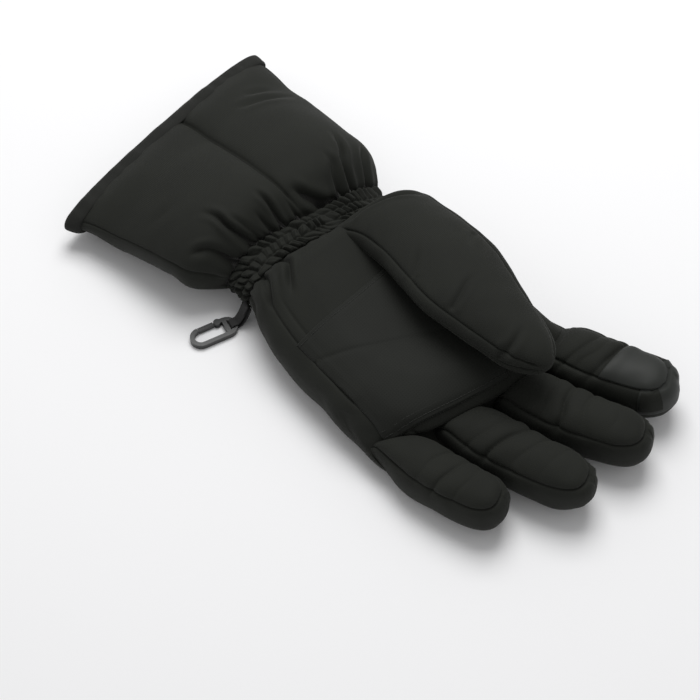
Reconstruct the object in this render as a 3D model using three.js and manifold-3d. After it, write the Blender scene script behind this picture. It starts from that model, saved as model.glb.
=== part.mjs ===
// A padded winter glove for the left hand, lying on its back with the palm up and the thumb folded over it.
// Millimetres, +Z up, fingertips towards -Y, thumb side towards +X. Every padded wall is hollow inside, as worn.
import * as THREE from "three";
import { mergeVertices } from "three/addons/utils/BufferGeometryUtils.js";
import Module from "manifold-3d";

const wasm = await Module();
wasm.setup();

// Walls, seams and the floor
const wall = 4.5; // shell cloth, wadding and lining together
const seamGap = 0.3; // between neighbouring sewn panels
const floorPress = 1.5; // how far the back is flattened where it lies

// Hand
const handLength = 142; // wrist shirring to the line between the fingers
const handWidth = 129;
const handHeight = 42;
const handTurn = THREE.MathUtils.degToRad(-10); // the hand leans away from the cuff's own line
const handSeamLift = 0.66; // where the side seam runs, as a share of the half height above the middle
const palmHollow = 3;

// Wrist and cuff
const wristWidth = 98;
const wristHeight = 44;
const shirringLength = 14;
const shirringFullness = 1.8; // how far the ruffles stand out
const shirringRuffles = 20;
const shirringRows = 2;
const cuffLength = 103;
const hemWidth = 159;
const hemShift = 5; // the hem's middle lies this far towards the thumb
const cuffSeamLift = 0.3;
const cuffSeamDepth = 2;
const cuffSeamAside = 8; // the centre seam meets the hem this far towards the thumb
const cuffPleats = 10;
const cuffPleatDepth = 1.6;
const bindingWidth = 9;
const bindingCloth = 1.3;
const bindingPress = 0.3; // how far the binding is flattened where it lies

// Fingers and thumb
const fingerReach = 62.5; // longest finger, beyond the line between the fingers
const fingerWidth = 32;
const fingerHeight = 31;
const fingerCurl = 7; // how far the tips lift off the floor
const fingerSeamLift = 0.58;
const creaseDepth = 2;
const thumbLength = 149;
const thumbWidth = 59;
const thumbHeight = 27;
const thumbRise = 53.5; // the thumb's middle, above the floor, where it lies over the palm
const thumbSeamLift = -0.2;

// Reinforcements
const patchCloth = 1.1;
const padCloth = 0.9;

// Snap clip and its tape
const clipLength = 27;
const clipWidth = 12;
const clipThickness = 3;
const clipBar = 2.4;
const clipHeading = THREE.MathUtils.degToRad(157);
const eyeLength = 2.4;
const pinRadius = 0.6;
const clipGap = 0.35; // running clearance round the gate
const tapeWidth = 5;
const tapeThickness = 0.9;
const tapeReach = 9; // wrist to the clip's end bar
const tapeRootHeight = 14;

// Rows are shares, chosen from the photograph, of the sizes named above
const handRows = [
  { along: 0, spread: 0, tall: 1.08, shift: 0 },
  { along: 0.06, spread: 0.3, tall: 1.1, shift: -0.005 },
  { along: 0.16, spread: 0.66, tall: 1.06, shift: -0.012 },
  { along: 0.35, spread: 0.93, tall: 0.99, shift: -0.02 },
  { along: 0.55, spread: 0.99, tall: 0.95, shift: -0.023 },
  { along: 0.75, spread: 1, tall: 0.92, shift: -0.023 },
  { along: 0.9, spread: 1, tall: 0.86, shift: -0.021 },
  { along: 0.97, spread: 0.92, tall: 0.79, shift: -0.019 },
  { along: 1, spread: 0.72, tall: 0.66, shift: -0.018 },
];
const cuffRows = [
  { along: 0, flare: 0.03, tall: 1.0, shift: 0 },
  { along: 0.05, flare: 0.32, tall: 1.12, shift: -0.01 },
  { along: 0.12, flare: 0.56, tall: 1.2, shift: -0.02 },
  { along: 0.24, flare: 0.63, tall: 1.2, shift: -0.022 },
  { along: 0.42, flare: 0.7, tall: 1.1, shift: -0.015 },
  { along: 0.63, flare: 0.79, tall: 0.94, shift: -0.008 },
  { along: 0.83, flare: 0.9, tall: 0.75, shift: 0 },
  { along: 1, flare: 1, tall: 0.58, shift: 0 },
];
// root and tip are shares of the hand's width from its middle, reach, width and tall of the finger sizes
const fingers = [
  { name: "little", root: -0.4, tip: -0.275, reach: 0.7, width: 0.95, tall: 0.94 },
  { name: "ring", root: -0.15, tip: 0.035, reach: 1.03, width: 1.03, tall: 0.98 },
  { name: "middle", root: 0.107, tip: 0.35, reach: 1.03, width: 1.03, tall: 1 },
  { name: "index", root: 0.365, tip: 0.605, reach: 0.81, width: 1.1, tall: 1.02 },
];
const fingerRows = [
  { along: 0, width: 0.72, tall: 0.72 },
  { along: 0.25, width: 0.86, tall: 0.86 },
  { along: 0.42, width: 1, tall: 1 },
  { along: 0.62, width: 0.97, tall: 0.98 },
  { along: 0.85, width: 0.93, tall: 0.93 },
  { along: 1, width: 0.88, tall: 0.86 },
];
const fingerCreases = [0.47, 0.67]; // across the palm side, as shares of the whole finger
const fingerStart = 0.74; // where a finger's own line starts inside the hand, as a share of the hand
const thumbRows = [
  { along: 0, middle: 0.19, width: 0.78, tall: 1.0, rise: 0.42 },
  { along: 0.13, middle: 0.2, width: 0.9, tall: 1.12, rise: 0.66 },
  { along: 0.27, middle: 0.2, width: 0.96, tall: 1.1, rise: 0.86 },
  { along: 0.41, middle: 0.192, width: 0.98, tall: 1.03, rise: 0.96 },
  { along: 0.56, middle: 0.18, width: 0.95, tall: 1, rise: 1 },
  { along: 0.71, middle: 0.168, width: 0.78, tall: 0.97, rise: 1 },
  { along: 0.84, middle: 0.162, width: 0.63, tall: 0.92, rise: 0.985 },
  { along: 1, middle: 0.168, width: 0.5, tall: 0.82, rise: 0.96 },
];
const thumbStart = 0.03; // a share of the hand's length from the wrist
// The palm reinforcement's corners: across in hand widths, along in hand lengths
const patchCorners = [
  { across: -0.6, along: 0.35 },
  { across: 0.08, along: 0.28 },
  { across: 0.12, along: 0.85 },
  { across: -0.6, along: 0.85 },
];
const padSpan = [0.76, 0.82, 0.88, 0.92, 0.955]; // the fingertip pad, along the index finger

// Places in the hand's own lines: across towards the thumb, along towards the fingertips, from the wrist's middle
const upward = new THREE.Vector3(0, 0, 1);
const hemward = new THREE.Vector3(0, 1, 0);
const handAcross = new THREE.Vector3(Math.cos(handTurn), Math.sin(handTurn), 0);
const handAlong = new THREE.Vector3(Math.sin(handTurn), -Math.cos(handTurn), 0);
function handPoint(across, along, height) {
  return new THREE.Vector3(0, 0, height)
    .addScaledVector(handAcross, across)
    .addScaledVector(handAlong, along);
}

// A column of a table at any share along, eased smoothly from row to row
function columnAt(rows, column, share) {
  const next = Math.max(1, rows.findIndex((row) => row.along >= Math.min(1, share)));
  const slope = (i) => {
    const a = rows[Math.max(0, i - 1)];
    const b = rows[Math.min(rows.length - 1, i + 1)];
    return (b[column] - a[column]) / (b.along - a.along);
  };
  const from = rows[next - 1];
  const to = rows[next];
  const span = to.along - from.along;
  const t = THREE.MathUtils.clamp((share - from.along) / span, 0, 1);
  const t2 = t * t;
  const t3 = t2 * t;
  return (
    from[column] * (2 * t3 - 3 * t2 + 1) +
    to[column] * (3 * t2 - 2 * t3) +
    slope(next - 1) * span * (t3 - 2 * t2 + t) +
    slope(next) * span * (t3 - t2)
  );
}

const even = (count) => Array.from({ length: count + 1 }, (_, i) => i / count);
const bump = (x, middle, reach) => Math.exp(-(((x - middle) / reach) ** 2));
const ofRows = (rows) => rows.map((row) => row.along);
// What is left of a full section near a round end that starts at a share of the length
function roundEnd(share, from, power = 2.3) {
  const t = Math.max(0, (share - from) / (1 - from));
  return Math.max(0.02, 1 - t ** power) ** (1 / power);
}

// Solids: three.js geometry in and out of the library that joins and cuts
function toSolid(geometry) {
  const bare = new THREE.BufferGeometry();
  const source = geometry.index ? geometry.toNonIndexed() : geometry;
  bare.setAttribute("position", source.getAttribute("position"));
  const merged = mergeVertices(bare, 1e-4);
  return new wasm.Manifold(
    new wasm.Mesh({
      numProp: 3,
      vertProperties: Float32Array.from(merged.attributes.position.array),
      triVerts: Uint32Array.from(merged.index.array),
    }),
  );
}

function toMesh(name, solid, material) {
  const made = solid.getMesh();
  const geometry = new THREE.BufferGeometry();
  geometry.setAttribute("position", new THREE.BufferAttribute(made.vertProperties, made.numProp));
  geometry.setIndex(new THREE.BufferAttribute(made.triVerts, 1));
  geometry.computeVertexNormals();
  const mesh = new THREE.Mesh(geometry, material);
  mesh.name = name;
  return mesh;
}

// A closed solid through rings that all have the same number of points, with a fan at each end
function throughRings(rings) {
  const sides = rings[0].length;
  const points = rings.flat();
  const faces = [];
  for (let r = 0; r + 1 < rings.length; r++) {
    for (let i = 0; i < sides; i++) {
      const a = r * sides + i;
      const b = r * sides + ((i + 1) % sides);
      faces.push([a, b, b + sides], [a, b + sides, a + sides]);
    }
  }
  const middleOf = (ring) =>
    ring.reduce((sum, p) => sum.add(p), new THREE.Vector3()).divideScalar(sides);
  const first = points.push(middleOf(rings[0])) - 1;
  const last = points.push(middleOf(rings[rings.length - 1])) - 1;
  const lastRing = (rings.length - 1) * sides;
  for (let i = 0; i < sides; i++) {
    const j = (i + 1) % sides;
    faces.push([first, j, i], [last, lastRing + i, lastRing + j]);
  }
  const geometry = new THREE.BufferGeometry().setFromPoints(points);
  geometry.setIndex(faces.flat());
  const made = toSolid(geometry);
  if (made.volume() > 0) return made;
  geometry.setIndex(faces.map(([a, b, c]) => [a, c, b]).flat());
  return toSolid(geometry);
}

// A station is one place along a sleeve: its middle, two directions, half sizes and how square it is
function ringAt(station, grow, sides, relief) {
  const power = (value) => Math.sign(value) * Math.abs(value) ** (2 / station.power);
  return Array.from({ length: sides }, (_, i) => {
    const angle = (2 * Math.PI * i) / sides;
    const out = grow + (relief ? relief(angle) : 0);
    return station.at
      .clone()
      .addScaledVector(station.across, Math.max(0.4, station.halfWidth + out) * power(Math.cos(angle)))
      .addScaledVector(station.lift, Math.max(0.4, station.halfHeight + out) * power(Math.sin(angle)));
  });
}
const movedStation = (station, direction, distance) => ({
  ...station,
  at: station.at.clone().addScaledVector(direction, distance),
});

// A bar that follows a sleeve from end to end, with its cross-section given by four corners at each station
function barAlong(stations, ahead, behind, cornersAt) {
  const last = stations[stations.length - 1];
  const all = [movedStation(stations[0], behind, 3 * wall), ...stations, movedStation(last, ahead, 3 * wall)];
  return throughRings(
    all.map((station) =>
      cornersAt(station).map(([x, z]) =>
        station.at.clone().addScaledVector(station.across, x).addScaledVector(station.lift, z),
      ),
    ),
  );
}
const rectangle = (x0, x1, z0, z1) => [
  [x0, z0],
  [x1, z0],
  [x1, z1],
  [x0, z1],
];
// Everything above a seam that runs at a share of the sleeve's half height
const aboveSeam = (stations, ahead, behind, seamLift, offset) =>
  barAlong(stations, ahead, behind, ({ fullWidth, fullHeight }) =>
    rectangle(
      -1.5 * fullWidth,
      1.5 * fullWidth,
      seamLift * fullHeight + offset,
      3 * fullHeight,
    ),
  );

const underFloor = toSolid(new THREE.BoxGeometry(2000, 2000, 400).translate(0, 0, -200));
const onFloor = (solid) => solid.subtract(underFloor);

// Hand
function handStation(share) {
  const width = wristWidth + (handWidth - wristWidth) * columnAt(handRows, "spread", share);
  const halfHeight = (handHeight * columnAt(handRows, "tall", share)) / 2;
  return {
    at: handPoint(handWidth * columnAt(handRows, "shift", share), handLength * share, halfHeight - floorPress),
    across: handAcross,
    lift: upward,
    halfWidth: width / 2,
    halfHeight,
    fullWidth: width / 2,
    fullHeight: halfHeight,
    power: 2.5,
  };
}
const palmRelief = (share) => (angle) =>
  -palmHollow * bump(share, 0.5, 0.3) * Math.max(0, Math.sin(angle)) ** 6;
const handRing = (share, grow, sides) => ringAt(handStation(share), grow, sides, palmRelief(share));
const handBody = (grow) => throughRings(ofRows(handRows).map((share) => handRing(share, grow, 26)));
function handInside() {
  const last = 1 - wall / handLength;
  const shares = ofRows(handRows).filter((share) => share < last - 0.01);
  const mouth = movedStation(handStation(0), handAlong, -2 * seamGap);
  return throughRings([
    ringAt(mouth, -wall, 16),
    ...shares.map((share) => handRing(share, -wall, 16)),
    handRing(last, -wall * 1.6, 16),
  ]);
}

// Fingers: each leaves the hand straight, then leans towards the thumb and lifts at the tip
function fingerCurve({ root, tip, reach, tall }) {
  const rest = (fingerHeight * tall) / 2 - floorPress;
  const tipAlong = handLength + fingerReach * reach;
  const bendAlong = handLength + fingerReach * reach * 0.35;
  return new THREE.QuadraticBezierCurve3(
    handPoint(handWidth * root, handLength * fingerStart, rest),
    handPoint(handWidth * (root + (tip - root) * 0.18), bendAlong, rest - fingerCurl * 0.15),
    handPoint(handWidth * tip, tipAlong, rest + fingerCurl),
  );
}
function fingerStation(finger, share, trim = 0) {
  const curve = fingerCurve(finger);
  const along = Math.min(1, share * (1 - trim / curve.getLength()));
  const ahead = curve.getTangentAt(along);
  const across = new THREE.Vector3().crossVectors(upward, ahead).normalize();
  const end = roundEnd(share, 0.8);
  const fullWidth = (fingerWidth * finger.width * columnAt(fingerRows, "width", share)) / 2;
  const fullHeight = (fingerHeight * finger.tall * columnAt(fingerRows, "tall", share)) / 2;
  return {
    at: curve.getPointAt(along),
    ahead,
    across,
    lift: new THREE.Vector3().crossVectors(ahead, across).normalize(),
    halfWidth: end * fullWidth,
    halfHeight: (0.3 + 0.7 * end) * fullHeight,
    fullWidth,
    fullHeight,
    power: 2.7,
  };
}
const creaseRelief = (share) => (angle) => {
  const depth = fingerCreases.reduce((sum, place) => sum + bump(share, place, 0.035), 0);
  return -creaseDepth * depth * Math.max(0, Math.sin(angle)) ** 1.5;
};
const fingerShares = [0.1, 0.36, 0.43, 0.47, 0.51, 0.57, 0.63, 0.67, 0.71, 0.82, 0.92, 0.98, 1];
const fingerHollowShares = [0, 0.4, 0.6, 0.8, 0.93, 1];
const fingerRing = (finger, share, grow, sides, trim) =>
  ringAt(fingerStation(finger, share, trim), grow, sides, creaseRelief(share));
const fingerBody = (finger, grow) =>
  throughRings(fingerShares.map((share) => fingerRing(finger, share, grow, 14)));
const fingerInside = (finger) =>
  throughRings(fingerHollowShares.map((share) => fingerRing(finger, share, -wall, 10, wall)));

// Thumb
function thumbStation(share, trim = 0) {
  const end = roundEnd(share, 0.83, 2.1);
  const fullWidth = (thumbWidth * columnAt(thumbRows, "width", share)) / 2;
  const fullHeight = (thumbHeight * columnAt(thumbRows, "tall", share)) / 2;
  return {
    at: handPoint(
      handWidth * columnAt(thumbRows, "middle", share),
      handLength * thumbStart + share * (thumbLength - trim),
      thumbRise * columnAt(thumbRows, "rise", share),
    ),
    across: handAcross,
    lift: upward,
    halfWidth: end * fullWidth,
    halfHeight: (0.35 + 0.65 * end) * fullHeight,
    fullWidth,
    fullHeight,
    power: 2.15,
  };
}
const thumbShares = [0, 0.13, 0.27, 0.41, 0.56, 0.7, 0.82, 0.9, 0.95, 0.98, 1];
const thumbHollowShares = [0, 0.27, 0.56, 0.8, 0.93, 1];
const thumbBody = (grow) =>
  throughRings(thumbShares.map((share) => ringAt(thumbStation(share), grow, 16)));
const thumbInside = () =>
  throughRings(thumbHollowShares.map((share) => ringAt(thumbStation(share, wall), -wall, 12)));

// Cuff: its sections turn from the wrist's slant to the hem's, and the hem stands on its binding
function cuffStation(share) {
  const turn = handTurn * (1 - share) ** 2;
  const width = wristWidth + (hemWidth - wristWidth) * columnAt(cuffRows, "flare", share);
  const halfHeight = (wristHeight * columnAt(cuffRows, "tall", share)) / 2;
  const overBinding = floorPress + bindingCloth + seamGap - bindingPress;
  const raised = overBinding * THREE.MathUtils.smoothstep(share, 0.65, 0.88);
  return {
    at: handPoint(hemWidth * columnAt(cuffRows, "shift", share), -shirringLength, halfHeight - floorPress + raised)
      .addScaledVector(new THREE.Vector3(hemShift, cuffLength, 0), share),
    across: new THREE.Vector3(Math.cos(turn), Math.sin(turn), 0),
    lift: upward,
    halfWidth: width / 2,
    halfHeight,
    fullWidth: width / 2,
    fullHeight: halfHeight,
    power: 2.3,
    seamAside: cuffSeamAside * share,
  };
}
// A valley along the sewn centre seam, and pleats that fade out away from the wrist
const cuffRelief = (share) => {
  const seamAngle = Math.PI / 2 - (cuffSeamAside * share) / (hemWidth / 2);
  const fade = Math.max(0, 1 - share / 0.25);
  return (angle) =>
    cuffPleatDepth * Math.cos(cuffPleats * angle) * fade - cuffSeamDepth * bump(angle, seamAngle, 0.1);
};
const cuffRing = (share, grow, sides, relief = cuffRelief(share)) =>
  ringAt(cuffStation(share), grow, sides, relief);
const pastHem = (grow, sides, distance) =>
  ringAt(movedStation(cuffStation(1), hemward, distance), grow, sides, cuffRelief(1));
const cuffBody = (grow) => throughRings(ofRows(cuffRows).map((share) => cuffRing(share, grow, 36)));
const noRelief = () => 0;
function cuffInside() {
  const start = movedStation(cuffStation(0), handAlong, 2 * wall);
  const end = movedStation(cuffStation(1), hemward, 2 * wall);
  return throughRings([
    ringAt(start, -wall, 20),
    ...ofRows(cuffRows).map((share) => cuffRing(share, -wall, 20, noRelief)),
    ringAt(end, -wall, 20),
  ]);
}

// Binding: a folded strip that wraps the cut edge of the hem, outside and in
function hemBinding() {
  const sides = 36;
  const reach = seamGap + bindingCloth;
  const start = 1 - bindingWidth / cuffLength;
  const middle = (1 + start) / 2;
  const sleeve = (grow, first, beyond) =>
    throughRings([
      cuffRing(first, grow, sides),
      cuffRing(middle, grow, sides),
      cuffRing(1, grow, sides),
      pastHem(grow, sides, beyond),
    ]);
  const plainSleeve = (grow, first, beyond) =>
    throughRings([
      cuffRing(first, grow, 20, noRelief),
      cuffRing(1, grow, 20, noRelief),
      ringAt(movedStation(cuffStation(1), hemward, beyond), grow, 20),
    ]);
  const clothWall = sleeve(seamGap, start - 0.05, seamGap)
    .subtract(plainSleeve(-wall - seamGap, start - 0.1, 2 * wall));
  return sleeve(reach, start, reach)
    .subtract(clothWall)
    .subtract(plainSleeve(-wall - reach, start - 0.1, 2 * wall));
}

// Wrist shirring: rows of ruffles, each row set off from the last by half a ruffle
function shirringBand() {
  const station = (place) => ({
    ...handStation(0),
    at: handPoint(0, place - shirringLength, wristHeight / 2 - floorPress),
    halfHeight: wristHeight / 2,
  });
  const ruffled = throughRings(
    even(shirringRows * 2).map((share, i) => {
      const puff = i % 2;
      const phase = (Math.floor(i / 2) % 2) * Math.PI;
      const fullness = shirringFullness * (0.2 + 0.8 * puff);
      const place = seamGap + share * (shirringLength - 2 * seamGap);
      return ringAt(station(place), puff - 1, shirringRuffles * 3, (angle) =>
        fullness * Math.cos(shirringRuffles * angle + phase),
      );
    }),
  );
  const hollow = throughRings([
    ringAt(station(-wall), -wall, 20),
    ringAt(station(shirringLength + wall), -wall, 20),
  ]);
  return onFloor(ruffled.subtract(hollow));
}

// Palm reinforcement: a thin sheet that follows the palm inside its sewn outline
function palmPatch() {
  const outline = new THREE.Shape(
    patchCorners.map(({ across, along }) => {
      const corner = handPoint(across * handWidth, along * handLength, 0);
      return new THREE.Vector2(corner.x, corner.y);
    }),
  );
  const prism = new THREE.ExtrudeGeometry(outline, { depth: handHeight, bevelEnabled: false });
  return handBody(seamGap + patchCloth)
    .subtract(handBody(seamGap))
    .intersect(toSolid(prism.translate(0, 0, handHeight / 4)));
}

// Conductive pad on the index fingertip, over its palm-side panel
function touchPad(finger) {
  const stations = padSpan.map((share) => fingerStation(finger, share));
  const ahead = stations[stations.length - 1].ahead;
  const behind = ahead.clone().negate();
  const skin = (grow, extra) =>
    throughRings([
      ringAt(movedStation(stations[0], behind, extra), grow, 16),
      ...stations.map((station) => ringAt(station, grow, 16)),
      ringAt(movedStation(stations[stations.length - 1], ahead, extra), grow, 16),
    ]);
  return skin(seamGap + padCloth, 0.01)
    .subtract(skin(seamGap, wall))
    .intersect(aboveSeam(stations, ahead, behind, fingerSeamLift + 0.15, 0));
}

// Snap clip: a flat moulded loop with a slot for its tape and one side left open for the gate
function capsule(length, width, made) {
  const r = width / 2;
  made.absarc(-length / 2 + r, 0, r, Math.PI / 2, (3 * Math.PI) / 2, false);
  made.absarc(length / 2 - r, 0, r, -Math.PI / 2, Math.PI / 2, false);
  made.closePath();
  return made;
}
function block(x0, x1, y0, y1, z0, z1) {
  const box = new THREE.BoxGeometry(x1 - x0, y1 - y0, z1 - z0);
  return toSolid(box.translate((x0 + x1) / 2, (y0 + y1) / 2, (z0 + z1) / 2));
}
function post(x, y, radius, z0, z1) {
  const cylinder = new THREE.CylinderGeometry(radius, radius, z1 - z0, 16).rotateX(Math.PI / 2);
  return toSolid(cylinder.translate(x, y, (z0 + z1) / 2));
}
// Along the clip, from its middle: the tape's slot, the gate's pivot and the gate's free end
const halfClip = clipLength / 2;
const slotX = -halfClip + clipBar;
const crossBarX = slotX + eyeLength;
const knuckle = clipBar / 2 + 0.8;
const pivotX = crossBarX + clipBar + knuckle + 0.2;
const gateY = -clipWidth / 2 + clipBar / 2;
const gateEndX = halfClip - clipWidth / 2 - 0.4;
const tongueLow = clipThickness * 0.3;
const tongueHigh = clipThickness * 0.7;
function clipBody() {
  const outline = capsule(clipLength, clipWidth, new THREE.Shape());
  const opening = capsule(clipLength - 2 * clipBar, clipWidth - 2 * clipBar, new THREE.Path());
  outline.holes.push(opening);
  const frame = new THREE.ExtrudeGeometry(outline, {
    depth: clipThickness,
    bevelEnabled: false,
    curveSegments: 5,
  });
  const innerY = clipWidth / 2 - clipBar / 2;
  const crossBar = block(crossBarX, crossBarX + clipBar, -innerY, innerY, 0, clipThickness);
  const boss = post(pivotX, gateY, knuckle, 0, clipThickness);
  const fork = block(
    pivotX - knuckle - clipGap,
    pivotX + knuckle + 1,
    gateY - knuckle - 1,
    gateY + knuckle + 1,
    tongueLow - clipGap,
    tongueHigh + clipGap,
  );
  const mouth = block(
    pivotX + knuckle - 0.2,
    gateEndX + clipGap,
    -clipWidth / 2 - 1,
    gateY + clipBar / 2 + 0.6,
    -1,
    clipThickness + 1,
  );
  const tapeY = tapeWidth / 2 + seamGap;
  const tapeSlot = block(slotX, crossBarX, -tapeY, tapeY, -1, clipThickness + 1);
  const tapeBed = block(-halfClip - 1, crossBarX, -tapeY, tapeY, -1, tapeThickness + 2 * seamGap);
  return toSolid(frame)
    .add(crossBar)
    .subtract(mouth)
    .add(boss)
    .subtract(fork)
    .subtract(tapeSlot)
    .subtract(tapeBed)
    .add(post(pivotX, gateY, pinRadius, 0.1, clipThickness - 0.1));
}
function clipGate() {
  const half = clipBar / 2;
  const armStart = pivotX + knuckle + clipGap;
  return post(pivotX, gateY, knuckle - 0.2, tongueLow, tongueHigh)
    .add(block(pivotX, armStart + 1, gateY - half * 0.7, gateY + half * 0.7, tongueLow, tongueHigh))
    .add(block(armStart, gateEndX, gateY - half, gateY + half * 0.8, seamGap, clipThickness - seamGap))
    .subtract(post(pivotX, gateY, pinRadius + clipGap, -1, clipThickness + 1));
}

// Tape: a flat loop from the wrist's side seam down to the clip and round its end bar
function tapeLoop() {
  const barHeight = clipThickness - tapeThickness - 2 * seamGap;
  const barMiddle = clipThickness - barHeight / 2;
  const inner = barHeight / 2 + seamGap;
  const line = new THREE.CatmullRomCurve3([
    new THREE.Vector3(-tapeReach, tapeRootHeight * 1.05, 0),
    new THREE.Vector3(0, tapeRootHeight, 0),
    new THREE.Vector3(tapeReach * 0.45, tapeRootHeight * 0.45, 0),
    new THREE.Vector3(tapeReach * 0.78, barMiddle + 0.3, 0),
    new THREE.Vector3(tapeReach, barMiddle, 0),
  ]);
  const layer = (half) => {
    const side = (sign) =>
      even(12).map((share) => {
        const p = line.getPointAt(share);
        const t = line.getTangentAt(share);
        return new THREE.Vector2(p.x - sign * half * t.y, p.y + sign * half * t.x);
      });
    const nose = even(4).map((share) => {
      const angle = Math.PI / 2 - Math.PI * share;
      const turn = tapeReach + clipBar / 2;
      return new THREE.Vector2(turn + half * Math.cos(angle), barMiddle + half * Math.sin(angle));
    });
    return new THREE.Shape([...side(1), ...nose, ...side(-1).reverse()]);
  };
  const extrude = (shape, width) => {
    const strip = new THREE.ExtrudeGeometry(shape, { depth: width, bevelEnabled: false });
    return toSolid(strip.translate(0, 0, -width / 2).rotateX(Math.PI / 2));
  };
  return extrude(layer(inner + tapeThickness), tapeWidth).subtract(extrude(layer(inner), tapeWidth + 2));
}

// The clip and its tape are laid out along +X, then turned to where they lie beside the wrist
const tapeRoot = handPoint(-wristWidth / 2, tapeWidth * 0.7, 0);
function besideWrist(solid, reach) {
  const placed = new THREE.Matrix4()
    .makeTranslation(tapeRoot.x, tapeRoot.y, 0)
    .multiply(new THREE.Matrix4().makeRotationZ(clipHeading))
    .multiply(new THREE.Matrix4().makeTranslation(reach, 0, 0));
  return solid.transform(placed.elements);
}

const shellCloth = new THREE.MeshStandardMaterial({ color: 0x26262a, roughness: 0.85, metalness: 0 });
const ribbonCloth = new THREE.MeshStandardMaterial({ color: 0x1d1d20, roughness: 0.9, metalness: 0 });
const patchCoating = new THREE.MeshStandardMaterial({ color: 0x2d2e31, roughness: 0.7, metalness: 0 });
const padFilm = new THREE.MeshStandardMaterial({ color: 0x5c5d60, roughness: 0.45, metalness: 0.2 });
const clipPlastic = new THREE.MeshStandardMaterial({ color: 0x303033, roughness: 0.4, metalness: 0 });

function buildGlove() {
  const glove = new THREE.Group();
  const add = (name, solid, material) => glove.add(toMesh(name, solid, material));
  const splitAtSeam = (solid, seam) => [solid.intersect(seam(seamGap / 2)), solid.subtract(seam(-seamGap / 2))];

  // The hollow runs on from the cuff through the wrist into the hand, the fingers and the thumb
  const fingerHollows = fingers.map(fingerInside);
  const thumbHollow = thumbInside();
  const handHollows = [handInside(), thumbHollow, ...fingerHollows].reduce((all, one) => all.add(one));
  const handNeighbour = handBody(seamGap);

  // Cuff: the back below the side seams, and two fronts that meet at the centre seam
  const cuffStations = ofRows(cuffRows).map(cuffStation);
  const cuffSeam = (offset) => aboveSeam(cuffStations, hemward, handAlong, cuffSeamLift, offset);
  const [cuffFront, cuffBack] = splitAtSeam(onFloor(cuffBody(0).subtract(cuffInside())), cuffSeam);
  const radialSide = (offset) =>
    barAlong(cuffStations, hemward, handAlong, ({ fullWidth, fullHeight, seamAside }) =>
      rectangle(seamAside + offset, 2 * fullWidth, -2 * fullHeight, 2 * fullHeight),
    );
  const [cuffRadial, cuffUlnar] = splitAtSeam(cuffFront, radialSide);
  add("cuff_front_ulnar", cuffUlnar, shellCloth);
  add("cuff_front_radial", cuffRadial, shellCloth);
  add("cuff_back", cuffBack, shellCloth);
  add("cuff_binding", onFloor(hemBinding()), ribbonCloth);
  add("wrist_shirring", shirringBand(), ribbonCloth);

  // Hand: palm panel above the side seam, back panel below it
  const handStations = ofRows(handRows).map(handStation);
  const wristward = handAlong.clone().negate();
  const handSeam = (offset) => aboveSeam(handStations, handAlong, wristward, handSeamLift, offset);
  const [palm, back] = splitAtSeam(onFloor(handBody(0).subtract(handHollows)), handSeam);
  add("palm_panel", palm, shellCloth);
  add("back_panel", back, shellCloth);

  // Fingers: the palm-side panel and, below its seam, the side strips and the back
  let taken = handNeighbour;
  fingers.forEach((finger, i) => {
    const shell = onFloor(fingerBody(finger, 0).subtract(fingerHollows[i]).subtract(taken));
    const stations = [0, 0.3, 0.55, 0.8, 1].map((share) => fingerStation(finger, share));
    const ahead = stations[stations.length - 1].ahead;
    const behind = stations[0].ahead.clone().negate();
    const seam = (offset) => aboveSeam(stations, ahead, behind, fingerSeamLift, offset);
    const [front, sides] = splitAtSeam(shell, seam);
    add(`${finger.name}_finger_front`, front, shellCloth);
    add(`${finger.name}_finger_sides`, sides, shellCloth);
    taken = taken.add(fingerBody(finger, seamGap));
  });

  // Thumb, which folds over the palm and stays clear of it
  const thumbShell = thumbBody(0).subtract(thumbHollow).subtract(handNeighbour);
  const thumbStations = thumbShares.map((share) => thumbStation(share));
  const thumbSeam = (offset) => aboveSeam(thumbStations, handAlong, wristward, thumbSeamLift, offset);
  const [thumbFront, thumbBack] = splitAtSeam(thumbShell, thumbSeam);
  add("thumb_front", thumbFront, shellCloth);
  add("thumb_back", thumbBack, shellCloth);

  add("palm_patch", palmPatch().subtract(thumbBody(seamGap)).intersect(handSeam(seamGap)), patchCoating);
  add("index_touch_pad", touchPad(fingers[3]), padFilm);

  // Clip and tape
  const clipReach = tapeReach + halfClip - clipBar / 2;
  add("clip_body", besideWrist(clipBody(), clipReach), clipPlastic);
  add("clip_gate", besideWrist(clipGate(), clipReach), clipPlastic);
  add("clip_tape", besideWrist(tapeLoop(), 0).subtract(handNeighbour), ribbonCloth);

  // The origin is under the middle of the whole glove, on the floor
  const middle = new THREE.Box3().setFromObject(glove).getCenter(new THREE.Vector3());
  glove.position.set(-middle.x, -middle.y, 0);
  return glove;
}

export default buildGlove();
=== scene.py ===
import math

import bpy
import numpy as np
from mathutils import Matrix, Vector
from mathutils.bvhtree import BVHTree


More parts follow.
